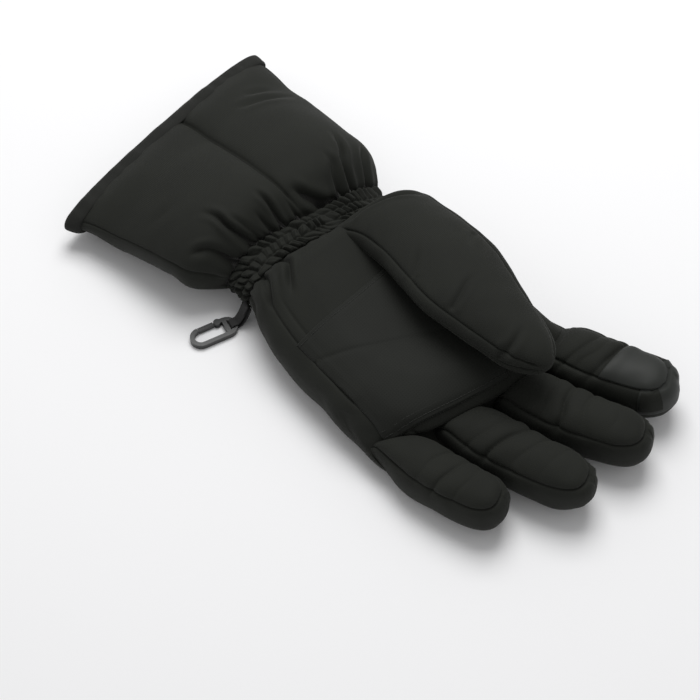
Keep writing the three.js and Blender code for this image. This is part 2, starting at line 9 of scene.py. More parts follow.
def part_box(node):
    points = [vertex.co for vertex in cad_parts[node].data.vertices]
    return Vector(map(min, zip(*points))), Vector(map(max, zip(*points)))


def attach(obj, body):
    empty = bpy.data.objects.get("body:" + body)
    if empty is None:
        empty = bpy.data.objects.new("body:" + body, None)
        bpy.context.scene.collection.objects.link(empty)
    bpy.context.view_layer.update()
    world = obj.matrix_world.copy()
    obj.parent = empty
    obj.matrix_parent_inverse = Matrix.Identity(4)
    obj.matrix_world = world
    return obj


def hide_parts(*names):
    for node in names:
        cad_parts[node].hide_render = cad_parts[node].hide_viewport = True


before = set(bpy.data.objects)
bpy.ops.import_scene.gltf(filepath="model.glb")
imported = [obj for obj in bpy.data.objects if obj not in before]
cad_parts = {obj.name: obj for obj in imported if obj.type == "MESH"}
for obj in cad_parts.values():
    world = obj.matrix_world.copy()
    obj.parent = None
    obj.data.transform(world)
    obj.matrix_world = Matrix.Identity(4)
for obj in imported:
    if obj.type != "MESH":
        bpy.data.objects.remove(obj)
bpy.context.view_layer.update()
print("frame loaded")

# Sizes are millimetres in the glove's own lines: across towards the thumb, along towards the fingertips,
# up from the floor, from the middle of the wrist. They become the frame's metres when a mesh is made.
glove = {
    "turn": math.radians(-10),  # the hand leans away from the cuff's own line
    "floorPress": 1.5,
    "wristWidth": 98,
    "wristHeight": 44,
    "shirring": 14,  # length of the gathered band
    "finer": 4,  # cells of the finished cloth to one cell of the simulated one
    "uvUnit": 10,  # millimetres to one unit of the UV map
}
upward = np.array([0.0, 0.0, 1.0])
hemward = np.array([0.0, 1.0, 0.0])
handAcross = np.array([math.cos(glove["turn"]), math.sin(glove["turn"]), 0])
handAlong = np.array([math.sin(glove["turn"]), -math.cos(glove["turn"]), 0])


def handPoint(across, along, height):
    across, along, height = np.broadcast_arrays(across, along, height)
    return across[..., None] * handAcross + along[..., None] * handAlong + height[..., None] * upward


def wristMiddle():  # where the frame has the middle of the wrist, from the gathered band's box
    low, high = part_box("wrist_shirring")
    middle = np.array((low + high) / 2) * 1000
    middle[2] = 0
    return middle - handPoint(0, -glove["shirring"] / 2, 0)


origin = wristMiddle()
toFrame = lambda points: (np.asarray(points) + origin) / 1000
ownLines = lambda points: (points @ handAcross, points @ handAlong)


# Small number helpers
def eased(table, column, share):  # one column of a table at any share along, smooth from row to row
    x = np.array(table["along"], float)
    y = np.array(table[column], float)
    i = np.arange(len(x))
    before, after = np.maximum(i - 1, 0), np.minimum(i + 1, len(x) - 1)
    slope = (y[after] - y[before]) / (x[after] - x[before])
    n = np.clip(np.searchsorted(x, share), 1, len(x) - 1)
    span = x[n] - x[n - 1]
    t = np.clip((share - x[n - 1]) / span, 0, 1)
    rise = y[n - 1] * (2 * t**3 - 3 * t**2 + 1) + y[n] * (3 * t**2 - 2 * t**3)
    return rise + slope[n - 1] * span * (t**3 - 2 * t**2 + t) + slope[n] * span * (t**3 - t**2)


def stepUp(x, low, high):
    t = np.clip((np.asarray(x, float) - low) / (high - low), 0, 1)
    return t * t * (3 - 2 * t)


def bump(x, middle, reach):
    return np.exp(-(((np.asarray(x) - middle) / reach) ** 2))


def softNoise(x, y, seed):  # smooth seeded noise from -1 to 1, one cell to a unit
    table = np.random.RandomState(seed).uniform(-1, 1, (64, 64))
    x, y = np.broadcast_arrays(np.asarray(x, float), np.asarray(y, float))
    x0, y0 = np.floor(x).astype(int), np.floor(y).astype(int)
    u, v = x - x0, y - y0
    u, v = u * u * (3 - 2 * u), v * v * (3 - 2 * v)
    at = lambda i, j: table[(x0 + i) % 64, (y0 + j) % 64]
    return (at(0, 0) * (1 - u) + at(1, 0) * u) * (1 - v) + (at(0, 1) * (1 - u) + at(1, 1) * u) * v


# Grids: rows run along a sleeve and columns run round it, so an array is rows, columns, three
def finerAlong(grid, times, closed=False):  # a smooth curve through the points, down the rows
    if closed:
        p = np.concatenate([grid[-1:], grid, grid[:2]])
    else:
        p = np.concatenate([2 * grid[:1] - grid[1:2], grid, 2 * grid[-1:] - grid[-2:-1]])
    a, b, c, d = p[:-3], p[1:-2], p[2:-1], p[3:]
    parts = []
    for i in range(times):
        t = i / times
        square, cube = 2 * a - 5 * b + 4 * c - d, 3 * b - a - 3 * c + d
        parts.append(0.5 * (2 * b + (c - a) * t + square * t**2 + cube * t**3))
    made = np.stack(parts, 1).reshape((-1,) + grid.shape[1:])
    return made if closed else np.concatenate([made, grid[-1:]])


def finerAround(grid, times=glove["finer"]):
    return finerAlong(grid.swapaxes(0, 1), times, True).swapaxes(0, 1)


def finer(grid):
    return finerAround(finerAlong(grid, glove["finer"]))


def smoothPath(points):
    return finerAlong(np.array(points, float), 8)


def toPath(path, x, y):  # distance from each point to a path, and the share along it
    best = np.full(x.shape, 1e9)
    share = np.zeros(x.shape)
    lengths = np.r_[0, np.cumsum(np.hypot(*np.diff(path, axis=0).T))]
    for a, b, start, end in zip(path[:-1], path[1:], lengths[:-1], lengths[1:]):
        d = b - a
        t = np.clip(((x - a[0]) * d[0] + (y - a[1]) * d[1]) / (d @ d), 0, 1)
        away = np.hypot(x - a[0] - t * d[0], y - a[1] - t * d[1])
        nearer = away < best
        best = np.where(nearer, away, best)
        share = np.where(nearer, (start + t * (end - start)) / lengths[-1], share)
    return best, share


def unit(vectors):
    return vectors / np.maximum(np.linalg.norm(vectors, axis=-1, keepdims=True), 1e-9)


def normalsOf(grid):
    n = unit(np.cross(np.roll(grid, -1, 1) - np.roll(grid, 1, 1), np.gradient(grid, axis=0)))
    outward = ((grid - grid.mean(1, keepdims=True)) * n).sum()
    return n if outward > 0 else -n


def openNormals(grid, middle):
    n = unit(np.cross(np.gradient(grid, axis=1), np.gradient(grid, axis=0)))
    return n if ((grid - middle) * n).sum() > 0 else -n


def lengthsOf(grid):  # millimetres down each column, and round each row
    down = np.cumsum(np.linalg.norm(np.diff(grid, axis=0), axis=-1), 0)
    around = np.cumsum(np.linalg.norm(np.diff(grid, axis=1), axis=-1), 1)
    return np.pad(down, ((1, 0), (0, 0))), np.pad(around, ((0, 0), (1, 0)))


def fromColumn(around, column):  # distance round each row from one column, the shorter way
    away = around - around[:, column:column + 1]
    return np.where(away > around[:, -1:] / 2, away - around[:, -1:], away)


def displaced(grid, amount):
    return grid + normalsOf(grid) * amount[..., None]


def onFloor(grid):  # cloth that meets the floor lies flat on it
    low, soft = 6, 0.8
    z = grid[..., 2]
    grid = grid.copy()
    grid[..., 2] = np.where(z < low, 0.5 * (z + np.sqrt(z * z + soft * soft)), z)
    return grid


# Meshes
def addObject(name, data):
    obj = bpy.data.objects.new(name, data)
    bpy.context.collection.objects.link(obj)
    return obj


def signedVolume(mesh):
    mesh.calc_loop_triangles()
    co = np.empty(len(mesh.vertices) * 3)
    mesh.vertices.foreach_get("co", co)
    tri = np.empty(len(mesh.loop_triangles) * 3, int)
    mesh.loop_triangles.foreach_get("vertices", tri)
    a, b, c = co.reshape(-1, 3)[tri.reshape(-1, 3)].transpose(1, 0, 2)
    return float((np.cross(a, b) * c).sum())


def linked(name, mesh):
    mesh.update()
    if signedVolume(mesh) < 0:
        mesh.flip_normals()
    mesh.shade_smooth()
    return addObject(name, mesh)


def clothMesh(name, points, faces, uvs):  # uvs are millimetres, one pair to each corner of each face
    mesh = bpy.data.meshes.new(name)
    mesh.from_pydata([tuple(p) for p in toFrame(points)], [], faces)
    layer = mesh.uv_layers.new(name="cloth")
    layer.data.foreach_set("uv", (np.asarray(uvs) / glove["uvUnit"]).ravel())
    return mesh


def meshOf(name, grid, closedRows=False, capped=False, second=None):
    # A mesh from a grid that is closed round its columns. A cap is a fan over the first and the last row.
    # Rows in the range "second" take the piece's second material.
    rows, columns = grid.shape[:2]
    down, around = lengthsOf(grid)
    lastRow = rows if closedRows else rows - 1
    at = np.arange(rows * columns).reshape(rows, columns)
    here, below = at[:lastRow], np.roll(at, -1, 0)[:lastRow]
    quads = np.stack([here, np.roll(here, -1, 1), np.roll(below, -1, 1), below], -1).reshape(-1, 4)
    closing = around[:, -1:] + np.linalg.norm(grid[:, -1:] - grid[:, :1], axis=-1)
    wide = np.concatenate([around, closing], 1)[:lastRow]
    left, right, top = wide[:, :-1], wide[:, 1:], down[:lastRow]
    bottom = np.concatenate([down[1:], down[-1:] + glove["uvUnit"] / 4])[:lastRow]
    uvs = np.stack([left, top, right, top, right, bottom, left, bottom], -1).reshape(-1, 2)
    points, faces = grid.reshape(-1, 3), quads.tolist()
    for row in (0, rows - 1) if capped else ():
        points = np.concatenate([points, grid[row].mean(0)[None]])
        pairs = np.stack([at[row], np.roll(at[row], -1)], 1)
        pairs = pairs if row else pairs[:, ::-1]
        faces += [(*pair, len(points) - 1) for pair in pairs.tolist()]
        spot = np.stack([around[row], np.full(columns, down[row, 0])], 1)
        uvs = np.concatenate([uvs, spot.repeat(3, 0)])
    mesh = clothMesh(name, points, faces, uvs)
    if second:
        index = np.zeros(len(faces), np.int32)
        index[second[0] * columns:second[1] * columns] = 1
        mesh.polygons.foreach_set("material_index", index)
    return linked(name, mesh)


def slabOf(name, top, thickness, middle):
    # Cloth sewn on to a surface: its upper face, edges that turn down and an underside
    rows, columns = top.shape[:2]
    points = np.concatenate([top.reshape(-1, 3), (top - openNormals(top, middle) * thickness).reshape(-1, 3)])
    at = np.arange(rows * columns).reshape(rows, columns)
    under = at + rows * columns
    along, across = lengthsOf(top)
    place = np.tile(np.stack([across.ravel(), along.ravel()], 1), (2, 1))
    quads = lambda g: np.stack([g[:-1, :-1], g[:-1, 1:], g[1:, 1:], g[1:, :-1]], -1).reshape(-1, 4)
    rim = np.concatenate([at[0, :-1], at[:-1, -1], at[-1, :0:-1], at[:0:-1, 0]])
    rimUnder = rim + rows * columns
    sides = np.stack([rim, rimUnder, np.roll(rimUnder, -1), np.roll(rim, -1)], 1)
    faces = np.concatenate([quads(at), quads(under)[:, ::-1], sides])
    return linked(name, clothMesh(name, points, faces.tolist(), place[faces.ravel()]))


def ringsOf(station, power, angles, cells, relief=None):
    # Superellipse sections. Panels meet at the angles, and each has its cells, shared out evenly by length.
    columns = []
    ends = (*angles, 2 * math.pi + angles[0])
    for start, end, count in zip(ends[:-1], ends[1:], cells):
        t = np.linspace(0, 1, 240)
        a, b = (np.broadcast_to(np.asarray(v, float), station["width"].shape)[:, None] for v in (start, end))
        angle = a + (b - a) * t
        out = relief(angle) if relief else 0
        part = lambda v, size: np.maximum(0.2, size[:, None] + out) * np.sign(v) * np.abs(v) ** (2 / power)
        x, z = part(np.cos(angle), station["width"]), part(np.sin(angle), station["height"])
        length = np.concatenate([np.zeros((len(x), 1)), np.cumsum(np.hypot(np.diff(x), np.diff(z)), 1)], 1)
        for share in np.arange(count) / count:
            want = share * length[:, -1]
            row = [(np.interp(w, l, p), np.interp(w, l, q)) for w, l, p, q in zip(want, length, x, z)]
            columns.append(np.array(row))
    flat = np.stack(columns, 1)
    sideways = flat[..., :1] * station["across"][:, None]
    return station["at"][:, None] + sideways + flat[..., 1:] * station["lift"][:, None]


def seamAngle(lift, power):  # the angle at which a section is at a share of its half height
    return np.arcsin(lift ** (power / 2))


def sides(row):  # the same directions at every station
    return {"across": np.tile(handAcross, (row, 1)), "lift": np.tile(upward, (row, 1))}


def narrowed(row, steps):  # rows that draw a sleeve's end together: for each its size and how far along
    middle = row.mean(0)
    return [middle + (row - middle) * size + handAlong * far for size, far in steps]


# Padded cloth: seams are held, and air pressure and spare cloth puff the panels between them
padding = {
    "scale": 10,  # the solver behaves better at furniture size
    "frames": 20,
    "smoothing": 3,
    "cloth": {"quality": 4, "mass": 0.2, "tension_stiffness": 20, "compression_stiffness": 20,
              "shear_stiffness": 8, "bending_stiffness": 0.6},
}


def sewn(held, columns, last=2):  # the seams down a sleeve are held, and the rows at its ends
    held[:, columns] = 1
    held[:2] = 1
    held[-last:] = 1
    return held


def puffed(grid, held, piece):
    scale, frames = padding["scale"], padding["frames"]
    work = meshOf("cloth_work", grid)
    work.data.vertices.foreach_set("co", (toFrame(grid) * scale).astype(np.float32).ravel())
    group = work.vertex_groups.new(name="sewn")
    for index, weight in enumerate(held.ravel()):
        group.add([index], float(weight), "REPLACE")
    cloth = work.modifiers.new("cloth", "CLOTH")
    for name, value in padding["cloth"].items():
        setattr(cloth.settings, name, value)
    cloth.settings.vertex_group_mass = "sewn"
    cloth.settings.use_pressure = True
    cloth.settings.uniform_pressure_force = piece["pressure"]
    cloth.settings.shrink_min = -piece["spare"]
    cloth.settings.effector_weights.gravity = 0
    cloth.collision_settings.use_collision = False
    cloth.point_cache.frame_start = 1
    cloth.point_cache.frame_end = frames
    scene = bpy.context.scene
    for number in range(1, frames + 1):
        scene.frame_set(number)
    shape = work.evaluated_get(bpy.context.evaluated_depsgraph_get()).to_mesh()
    co = np.empty(len(shape.vertices) * 3, np.float32)
    shape.vertices.foreach_get("co", co)
    bpy.data.objects.remove(work)
    scene.frame_set(1)
    moved = co.reshape(grid.shape) / scale * 1000 - origin - grid
    for _ in range(padding["smoothing"]):  # the wadding under the shell keeps it from fine wrinkles
        softer = 0.5 * moved + 0.25 * (np.roll(moved, 1, 1) + np.roll(moved, -1, 1))
        softer[1:-1] = 0.5 * softer[1:-1] + 0.25 * (softer[2:] + softer[:-2])
        moved = np.where(held[..., None] > 0.9, moved, softer)
    far = np.linalg.norm(moved, axis=-1, keepdims=True)
    print("  cloth moved by", round(float(far.mean()), 2), "mm, at most", round(float(far.max()), 2))
    return grid + moved * np.minimum(1, piece["cap"] / np.maximum(far, 1e-6))


def groove(away, depth, width, roll):  # a stitched valley: a fine line between two rolled shoulders
    away = np.abs(away)
    return -depth * (0.45 * np.exp(-((away / width) ** 2)) + 0.55 * np.exp(-away / roll))


def puckers(along, away, size, pitch, reach, seed):  # small creases that leave a seam at right angles
    near = np.exp(-((np.abs(away) / reach) ** 1.5)) * (1 - np.exp(-np.abs(away) / 1.2))
    return size * near * softNoise(along / pitch, away * 0.05 + 7, seed)


def creases(grid, folds):
    # Folds pressed into the upper side. Each is depth, width, the shares of its length over which its
    # start and its end fade, and its path in the glove's own lines.
    n = normalsOf(grid)
    across, along = ownLines(grid)
    change = np.zeros(across.shape)
    for depth, width, start, end, path in folds:
        path = smoothPath(path)
        low, high = path.min(0) - 4 * width, path.max(0) + 4 * width
        near = (across > low[0]) & (across < high[0]) & (along > low[1]) & (along < high[1])
        near &= n[..., 2] > 0.1
        if not near.any():
            continue
        away, share = toPath(path, across[near], along[near])
        fade = stepUp(share, 0, start) * (1 - stepUp(share, 1 - end, 1))
        valley = np.exp(-((away / width) ** 1.4))
        banks = bump(away, 2.2 * width, 1.3 * width)
        change[near] += depth * fade * (0.35 * banks - valley)
    return change


# The elastic at the wrist
wrist = {
    "pull": 10,  # it draws the thumb side of the wrist towards the fingers
    "reach": 26,
    "sink": 0.19,  # and pulls the band in below the padding on either side
    "sinkReach": 14,
    "ruffles": 27,  # short ones that run out of the band on either side
    "ruffleReach": 4.5,
    "turnIn": 2.0,  # where the cloth dips to meet the band
    "turnInReach": 2.4,
}


def drawnIn(grid):
    across, along = ownLines(grid)
    fromBand = along + glove["shirring"] / 2
    shift = wrist["pull"] * (0.25 + 0.75 * stepUp(across, -40, 40)) * bump(fromBand, 0, wrist["reach"])
    sink = wrist["sink"] * np.exp(-(np.abs(fromBand / wrist["sinkReach"]) ** 3))
    grid = grid + shift[..., None] * handAlong
    grid[..., 2] *= 1 - sink
    return grid


def gathered(turn, fromBand, size, start, drift, seed):
    ruffle = np.abs(np.cos(math.pi * wrist["ruffles"] * turn + drift)) - 0.65
    reach = wrist["ruffleReach"] * (1 + 0.7 * softNoise(turn * 23, 1, seed))
    ruffle = size * ruffle * np.exp(-fromBand / reach) * stepUp(fromBand, 0, start)
    return ruffle - wrist["turnIn"] * bump(fromBand, 0, wrist["turnInReach"])


# Camera and stage
view = {
    "azimuth": math.radians(-51),
    "elevation": math.radians(55),
    "target": np.array([-45, -60, 25]),  # from the wrist, in the frame's directions
    "distance": 1003,
    "lens": 100.6,
}


def addCamera():
    flat = math.cos(view["elevation"])
    azimuth = view["azimuth"]
    back = Vector((math.sin(azimuth) * flat, -math.cos(azimuth) * flat, math.sin(view["elevation"])))
    camera = addObject("camera", bpy.data.cameras.new("camera"))
    camera.data.lens = view["lens"]
    camera.data.sensor_width = 36
    camera.data.clip_start = 0.01
    camera.location = Vector(toFrame(view["target"])) + back * view["distance"] / 1000
    camera.rotation_euler = back.to_track_quat("Z", "Y").to_euler()
    bpy.context.scene.camera = camera


light = {
    "world": 0.44,
    "key": 11.5,
    "keyAt": (0.4, 0.3, 1.15),
    "keySize": 0.8,
    "floor": "f8f8f9",
    "floorSize": 6,
}


def toLinear(hexValue):
    part = np.array([int(hexValue[i:i + 2], 16) for i in (0, 2, 4)]) / 255
    part = np.where(part <= 0.04045, part / 12.92, ((part + 0.055) / 1.055) ** 2.4)
    return (*part, 1.0)


def addNode(tree, kind, settings={}, inputs={}):  # one node with its settings and its values or links
    node = tree.nodes.new(kind)
    for name, value in settings.items():
        setattr(node, name, value)
    for name, value in inputs.items():
        if isinstance(value, bpy.types.NodeSocket):
            tree.links.new(value, node.inputs[name])
        else:
            node.inputs[name].default_value = value
    return node


def newMaterial(name, sockets):
    material = bpy.data.materials.new(name)
    material.use_nodes = True
    shader = material.node_tree.nodes["Principled BSDF"]
    for socket, value in sockets.items():
        shader.inputs[socket].default_value = value
    return material, material.node_tree, shader


def addStage():
    scene = bpy.context.scene
    scene.view_settings.view_transform = "Standard"
    world = bpy.data.worlds.new("studio")
    world.use_nodes = True
    world.node_tree.nodes["Background"].inputs["Color"].default_value = (1, 1, 1, 1)
    world.node_tree.nodes["Background"].inputs["Strength"].default_value = light["world"]
    scene.world = world
    bpy.ops.mesh.primitive_plane_add(size=light["floorSize"], location=(0, 0, -0.0002))
    floor = bpy.context.object
    floor.name = "floor"
    matt = {"Base Color": toLinear(light["floor"]), "Roughness": 0.9, "Specular IOR Level": 0.1}
    floor.data.materials.append(newMaterial("white_paper_sweep", matt)[0])
    lamp = bpy.data.lights.new("softbox", "AREA")
    lamp.energy = light["key"]
    lamp.size = light["keySize"]
    softbox = addObject("softbox", lamp)
    softbox.location = light["keyAt"]
    softbox.rotation_euler = Vector(light["keyAt"]).to_track_quat("Z", "Y").to_euler()


# Materials. Thread spacing and grain are real sizes in millimetres.
def wovenCloth(name, hexDark, hexLight, thread, bumpSize, roughness, sheen):
    # Plain weave: crossing threads that catch the light by turns, with a faint uneven dye and a soft sheen.
    # The threads' crests are bumped and are also painted lighter into the colour, a painted highlight on each
    # thread.
    material, tree, shader = newMaterial(name, {
        "Roughness": roughness,
        "Sheen Weight": sheen,
        "Sheen Roughness": 0.45,
        "Sheen Tint": toLinear("c8c8c4"),
        "Specular IOR Level": 0.25,
    })
    uv = addNode(tree, "ShaderNodeUVMap", {"uv_map": "cloth"}).outputs["UV"]
    place = addNode(tree, "ShaderNodeTexCoord").outputs["Object"]
    # A wave texture's band repeats 20 times in 2 pi units at scale 1
    scale = glove["uvUnit"] / thread * 2 * math.pi / 20
    wave = {"Vector": uv, "Scale": scale, "Distortion": 0.4, "Detail Scale": 3}
    threads = {}
    for socket, way in enumerate("XY"):
        settings = {"wave_type": "BANDS", "bands_direction": way, "wave_profile": "SIN"}
        threads[socket] = addNode(tree, "ShaderNodeTexWave", settings, wave).outputs["Fac"]
    weave = addNode(tree, "ShaderNodeMath", {"operation": "MAXIMUM"}, threads).outputs[0]
    fine = {"Vector": place, "Scale": 900, "Detail": 3}
    wide = {"Vector": place, "Scale": 35, "Detail": 4}
    grain = addNode(tree, "ShaderNodeTexNoise", {}, fine).outputs["Fac"]
    clouds = addNode(tree, "ShaderNodeTexNoise", {}, wide).outputs["Fac"]
    added = {"operation": "MULTIPLY_ADD"}
    height = addNode(tree, "ShaderNodeMath", added, {0: grain, 1: 0.6, 2: weave}).outputs[0]
    mixed = addNode(tree, "ShaderNodeMath", added, {0: clouds, 1: 0.7, 2: -0.05}).outputs[0]
    # Colour share: the weave's crests add a painted highlight, and the clouds add the real uneven dye
    dyeAndPaintedGleamShare = addNode(tree, "ShaderNodeMath", added, {0: weave, 1: 0.35, 2: mixed}).outputs[0]
    dyeAndPaintedGleam = {"Factor": dyeAndPaintedGleamShare, 6: toLinear(hexDark), 7: toLinear(hexLight)}
    colour = addNode(tree, "ShaderNodeMix", {"data_type": "RGBA"}, dyeAndPaintedGleam)
    tree.links.new(colour.outputs[2], shader.inputs["Base Color"])
    relief = {"Height": height, "Strength": 0.5, "Distance": bumpSize / 1000}
    tree.links.new(addNode(tree, "ShaderNodeBump", {}, relief).outputs["Normal"], shader.inputs["Normal"])
    return material


# Nylon taslan shell: matt black, woven; rough enough that folds read as soft grey against near black
shellNylon = wovenCloth("woven_nylon_shell", "131411", "21231e", 0.9, 0.12, 0.82, 0.06)
# Grosgrain ribbon, its pale side a shade deeper
trimRibbon = wovenCloth("ribbed_nylon_ribbon", "131411", "1f201d", 0.8, 0.15, 0.82, 0.06)
# Polyurethane coated palm cloth: smoother and slightly cooler than the shell
patchCloth = wovenCloth("coated_grip_cloth", "141512", "20221e", 1.4, 0.05, 0.78, 0.05)
# Conductive film on tricot at the index fingertip: grey with a satin gleam
padCloth = wovenCloth("conductive_film_cloth", "232523", "2f312e", 0.7, 0.03, 0.56, 0.04)
# Brushed tricot lining
liningTricot = wovenCloth("brushed_tricot_lining", "121211", "1c1c1a", 1.2, 0.2, 0.95, 0.2)


def plainFinish(name, hexValue, roughness, grainSize, grainDepth):  # moulded plastic, webbing or thread
    material, tree, shader = newMaterial(name, {"Base Color": toLinear(hexValue), "Roughness": roughness})
    place = addNode(tree, "ShaderNodeTexCoord").outputs["Object"]
    size = {"Vector": place, "Scale": 1000 / grainSize, "Detail": 2}
    grain = addNode(tree, "ShaderNodeTexNoise", {}, size).outputs["Fac"]
    relief = {"Height": grain, "Strength": 0.4, "Distance": grainDepth / 1000}
    tree.links.new(addNode(tree, "ShaderNodeBump", {}, relief).outputs["Normal"], shader.inputs["Normal"])
    return material


# Injection-moulded acetal: dark grey, a low gleam on its edges
mouldedAcetal = plainFinish("moulded_acetal", "2b2c2c", 0.38, 0.6, 0.02)
# Narrow polyester webbing
tapeWebbing = plainFinish("polyester_webbing", "242424", 0.8, 0.5, 0.15)
# Spun polyester thread, a shade lighter than the cloth
stitchThread = plainFinish("spun_polyester_thread", "292a27", 0.7, 0.2, 0.02)
print("materials made")


def dressed(obj, materials, nodes=()):
    for material in materials:
        obj.data.materials.append(material)
    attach(obj, "glove")
    if nodes:
        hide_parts(*nodes)


# Hand
hand = {
    "length": 142,
    "width": 129,
    "height": 42,
    "power": 2.5,
    "rows": 42,
    "cells": (32, 56),  # round the palm, and round the back
    "seamLift": 0.66,
    "groove": (1.9, 0.6, 2.6),  # a seam's depth, the width of its line, and the roll of its shoulders
    "patchGroove": (1.1, 0.6, 1.6),
    "puckers": (0.3, 8, 6),  # size, pitch, and reach from the seam
    "palmHollow": 3,
    "inset": 1.2,  # the form starts this much smaller, because the cloth swells
    "pressure": 3.0,
    "spare": 0.015,
    "cap": 3.5,
    "thickness": 6,
    "lined": 0.5,  # the lined hollow goes this share of the way in
    "overhang": 3.2,  # the palm's padding rolls down this far at the fingers
    "overhangReach": 9,
    "baseLine": [  # where the fingers begin, across and along
        (-66, 109), (-61, 115), (-48, 122), (-34, 129), (-15, 133),
        (0, 135.5), (20, 138), (40, 138), (62, 131),
    ],
}
handTable = {
    "along": [0, 0.06, 0.16, 0.35, 0.55, 0.75, 0.9, 0.97, 1],
    "spread": [0, 0.3, 0.66, 0.93, 0.99, 1, 0.95, 0.78, 0.58],
    "tall": [1.08, 1.1, 1.06, 0.99, 0.95, 0.92, 0.86, 0.79, 0.66],
    "shift": [0, -0.005, -0.012, -0.02, -0.023, -0.023, -0.012, 0.008, 0.012],
}
handFolds = [
    (3.0, 1.4, 0.05, 0.35, [(-41, 0), (-42, 8), (-47, 17), (-53, 27)]),
    (3.8, 1.5, 0.05, 0.5, [(-27, 0), (-29, 10), (-35, 20), (-41, 30)]),
    (1.4, 1.4, 0.05, 0.5, [(-50, 0), (-53, 9), (-57, 20)]),
    (1.2, 1.4, 0.05, 0.6, [(-12, 0), (-12, 9)]),
    (1.2, 1.4, 0.05, 0.6, [(2, 0), (3, 8)]),
]


def fingerBase(across):  # how far along the palm ends and the fingers begin
    path = smoothPath(hand["baseLine"])
    return np.interp(across, path[:, 0], path[:, 1])


def rollDown(far, depth, reach):  # a quarter round that falls away towards zero distance
    return depth * (1 - np.sqrt(1 - np.clip(1 - far / reach, 0, 1) ** 2))


def handForm(share, grow):
    tall = hand["height"] * eased(handTable, "tall", share) / 2
    width = glove["wristWidth"] + (hand["width"] - glove["wristWidth"]) * eased(handTable, "spread", share)
    shift = hand["width"] * eased(handTable, "shift", share)
    return {
        "at": handPoint(shift, hand["length"] * share, tall - glove["floorPress"]),
        "width": width / 2 + grow,
        "height": tall + grow,
        **sides(len(share)),
    }


def palmHollow(share):
    deep = hand["palmHollow"] * bump(share, 0.5, 0.3)[:, None]
    return lambda angle: -deep * np.maximum(0, np.sin(angle)) ** 6


def makeHand():
    times = glove["finer"]
    share = np.linspace(0, 1, hand["rows"])
    seam = seamAngle(hand["seamLift"], hand["power"])
    palmCells = hand["cells"][0]
    meets = (seam, math.pi - seam)
    rings = lambda form, at: ringsOf(form, hand["power"], meets, hand["cells"], palmHollow(at))
    grid = rings(handForm(share, -hand["inset"]), share)
    across, along = ownLines(grid)
    palmSide = stepUp(grid[..., 2] - grid[..., 2].mean(1, keepdims=True), -6, 8)
    back = (fingerBase(across) - hand["length"]) * stepUp(share, 0.5, 1)[:, None] * palmSide
    grid = grid + back[..., None] * handAlong
    # The finger end closes inside the fingers
    grid = np.concatenate([grid, narrowed(grid[-1], ((0.8, -1), (0.5, -3), (0.2, -4)))])
    held = sewn(np.zeros(grid.shape[:2]), [0, palmCells], 5)
    grid = finer(puffed(grid, held, hand))
    down, around = lengthsOf(grid)
    across, along = ownLines(grid)
    normal = normalsOf(grid)
    fade = stepUp(down, 0, 6) * (1 - stepUp(down, hand["length"] - 8, hand["length"]))
    change = np.zeros(grid.shape[:2])
    for column in (0, palmCells * times):
        away = fromColumn(around, column)
        change += fade * groove(away, *hand["groove"])
        if column:  # on the little finger's side the patch's edge runs beside the seam
            change += fade * stepUp(down, 20, 40) * groove(away + 6.5, *hand["patchGroove"])
        change += fade * puckers(down, away, *hand["puckers"], 11 + column)
    change += 0.4 * softNoise(down / 22, around / 24, 3)
    change += creases(grid, handFolds)
    turn = around / around[:, -1:]
    change += gathered(turn, down, 1.8, 1.5, 1.6 * softNoise(turn * 19, 0, 5), 6)
    grid = displaced(grid, change)
    roll = rollDown(fingerBase(across) - along, hand["overhang"], hand["overhangReach"])
    rows = np.arange(len(grid))[:, None]
    grid[..., 2] -= roll * stepUp(normal[..., 2], 0.4, 0.95) * (rows <= (hand["rows"] - 1) * times)
    grid = onFloor(drawnIn(grid))
    # Inside it is lined, and the hollow ends in the dark beyond the wrist
    deep = np.linspace(hand["lined"], 0, 12)
    inner = rings(handForm(deep, -hand["thickness"]), deep)
    inner = finerAround(np.concatenate([narrowed(inner[0], ((0.3, 7), (0.75, 5))), inner]))
    obj = meshOf("hand_shell", np.concatenate([drawnIn(inner), grid]), capped=True, second=(0, len(inner)))
    dressed(obj, [shellNylon, liningTricot], ["palm_panel", "back_panel"])
    return obj


# Cuff
cuff = {
    "length": 103,
    "hemWidth": 159,
    "hemShift": 5,
    "power": 2.3,
    "rows": 32,
    "cells": (24, 28, 60),  # round the front on the thumb's side, the rest of the front, and the back
    "seamLift": 0.3,
    "seamAside": 8,
    "seamDepths": (1.6, 3.2, 1.6),
    "groove": (0.6, 3.2),
    "puckers": (0.3, 9, 8),
    "bindingCloth": 1.3,
    "bindingWidth": 9,
    "wall": 3.4,
    "inset": 0.9,
    "pressure": 2.6,
    "spare": 0.012,
    "cap": 4,
}
cuffTable = {
    "along": [0, 0.05, 0.12, 0.24, 0.42, 0.63, 0.83, 1],
    "flare": [0.03, 0.32, 0.56, 0.63, 0.7, 0.79, 0.9, 1],
    "tall": [1.0, 1.12, 1.2, 1.2, 1.1, 0.94, 0.75, 0.58],
    "shift": [0, -0.01, -0.02, -0.022, -0.015, -0.008, 0, 0],
}
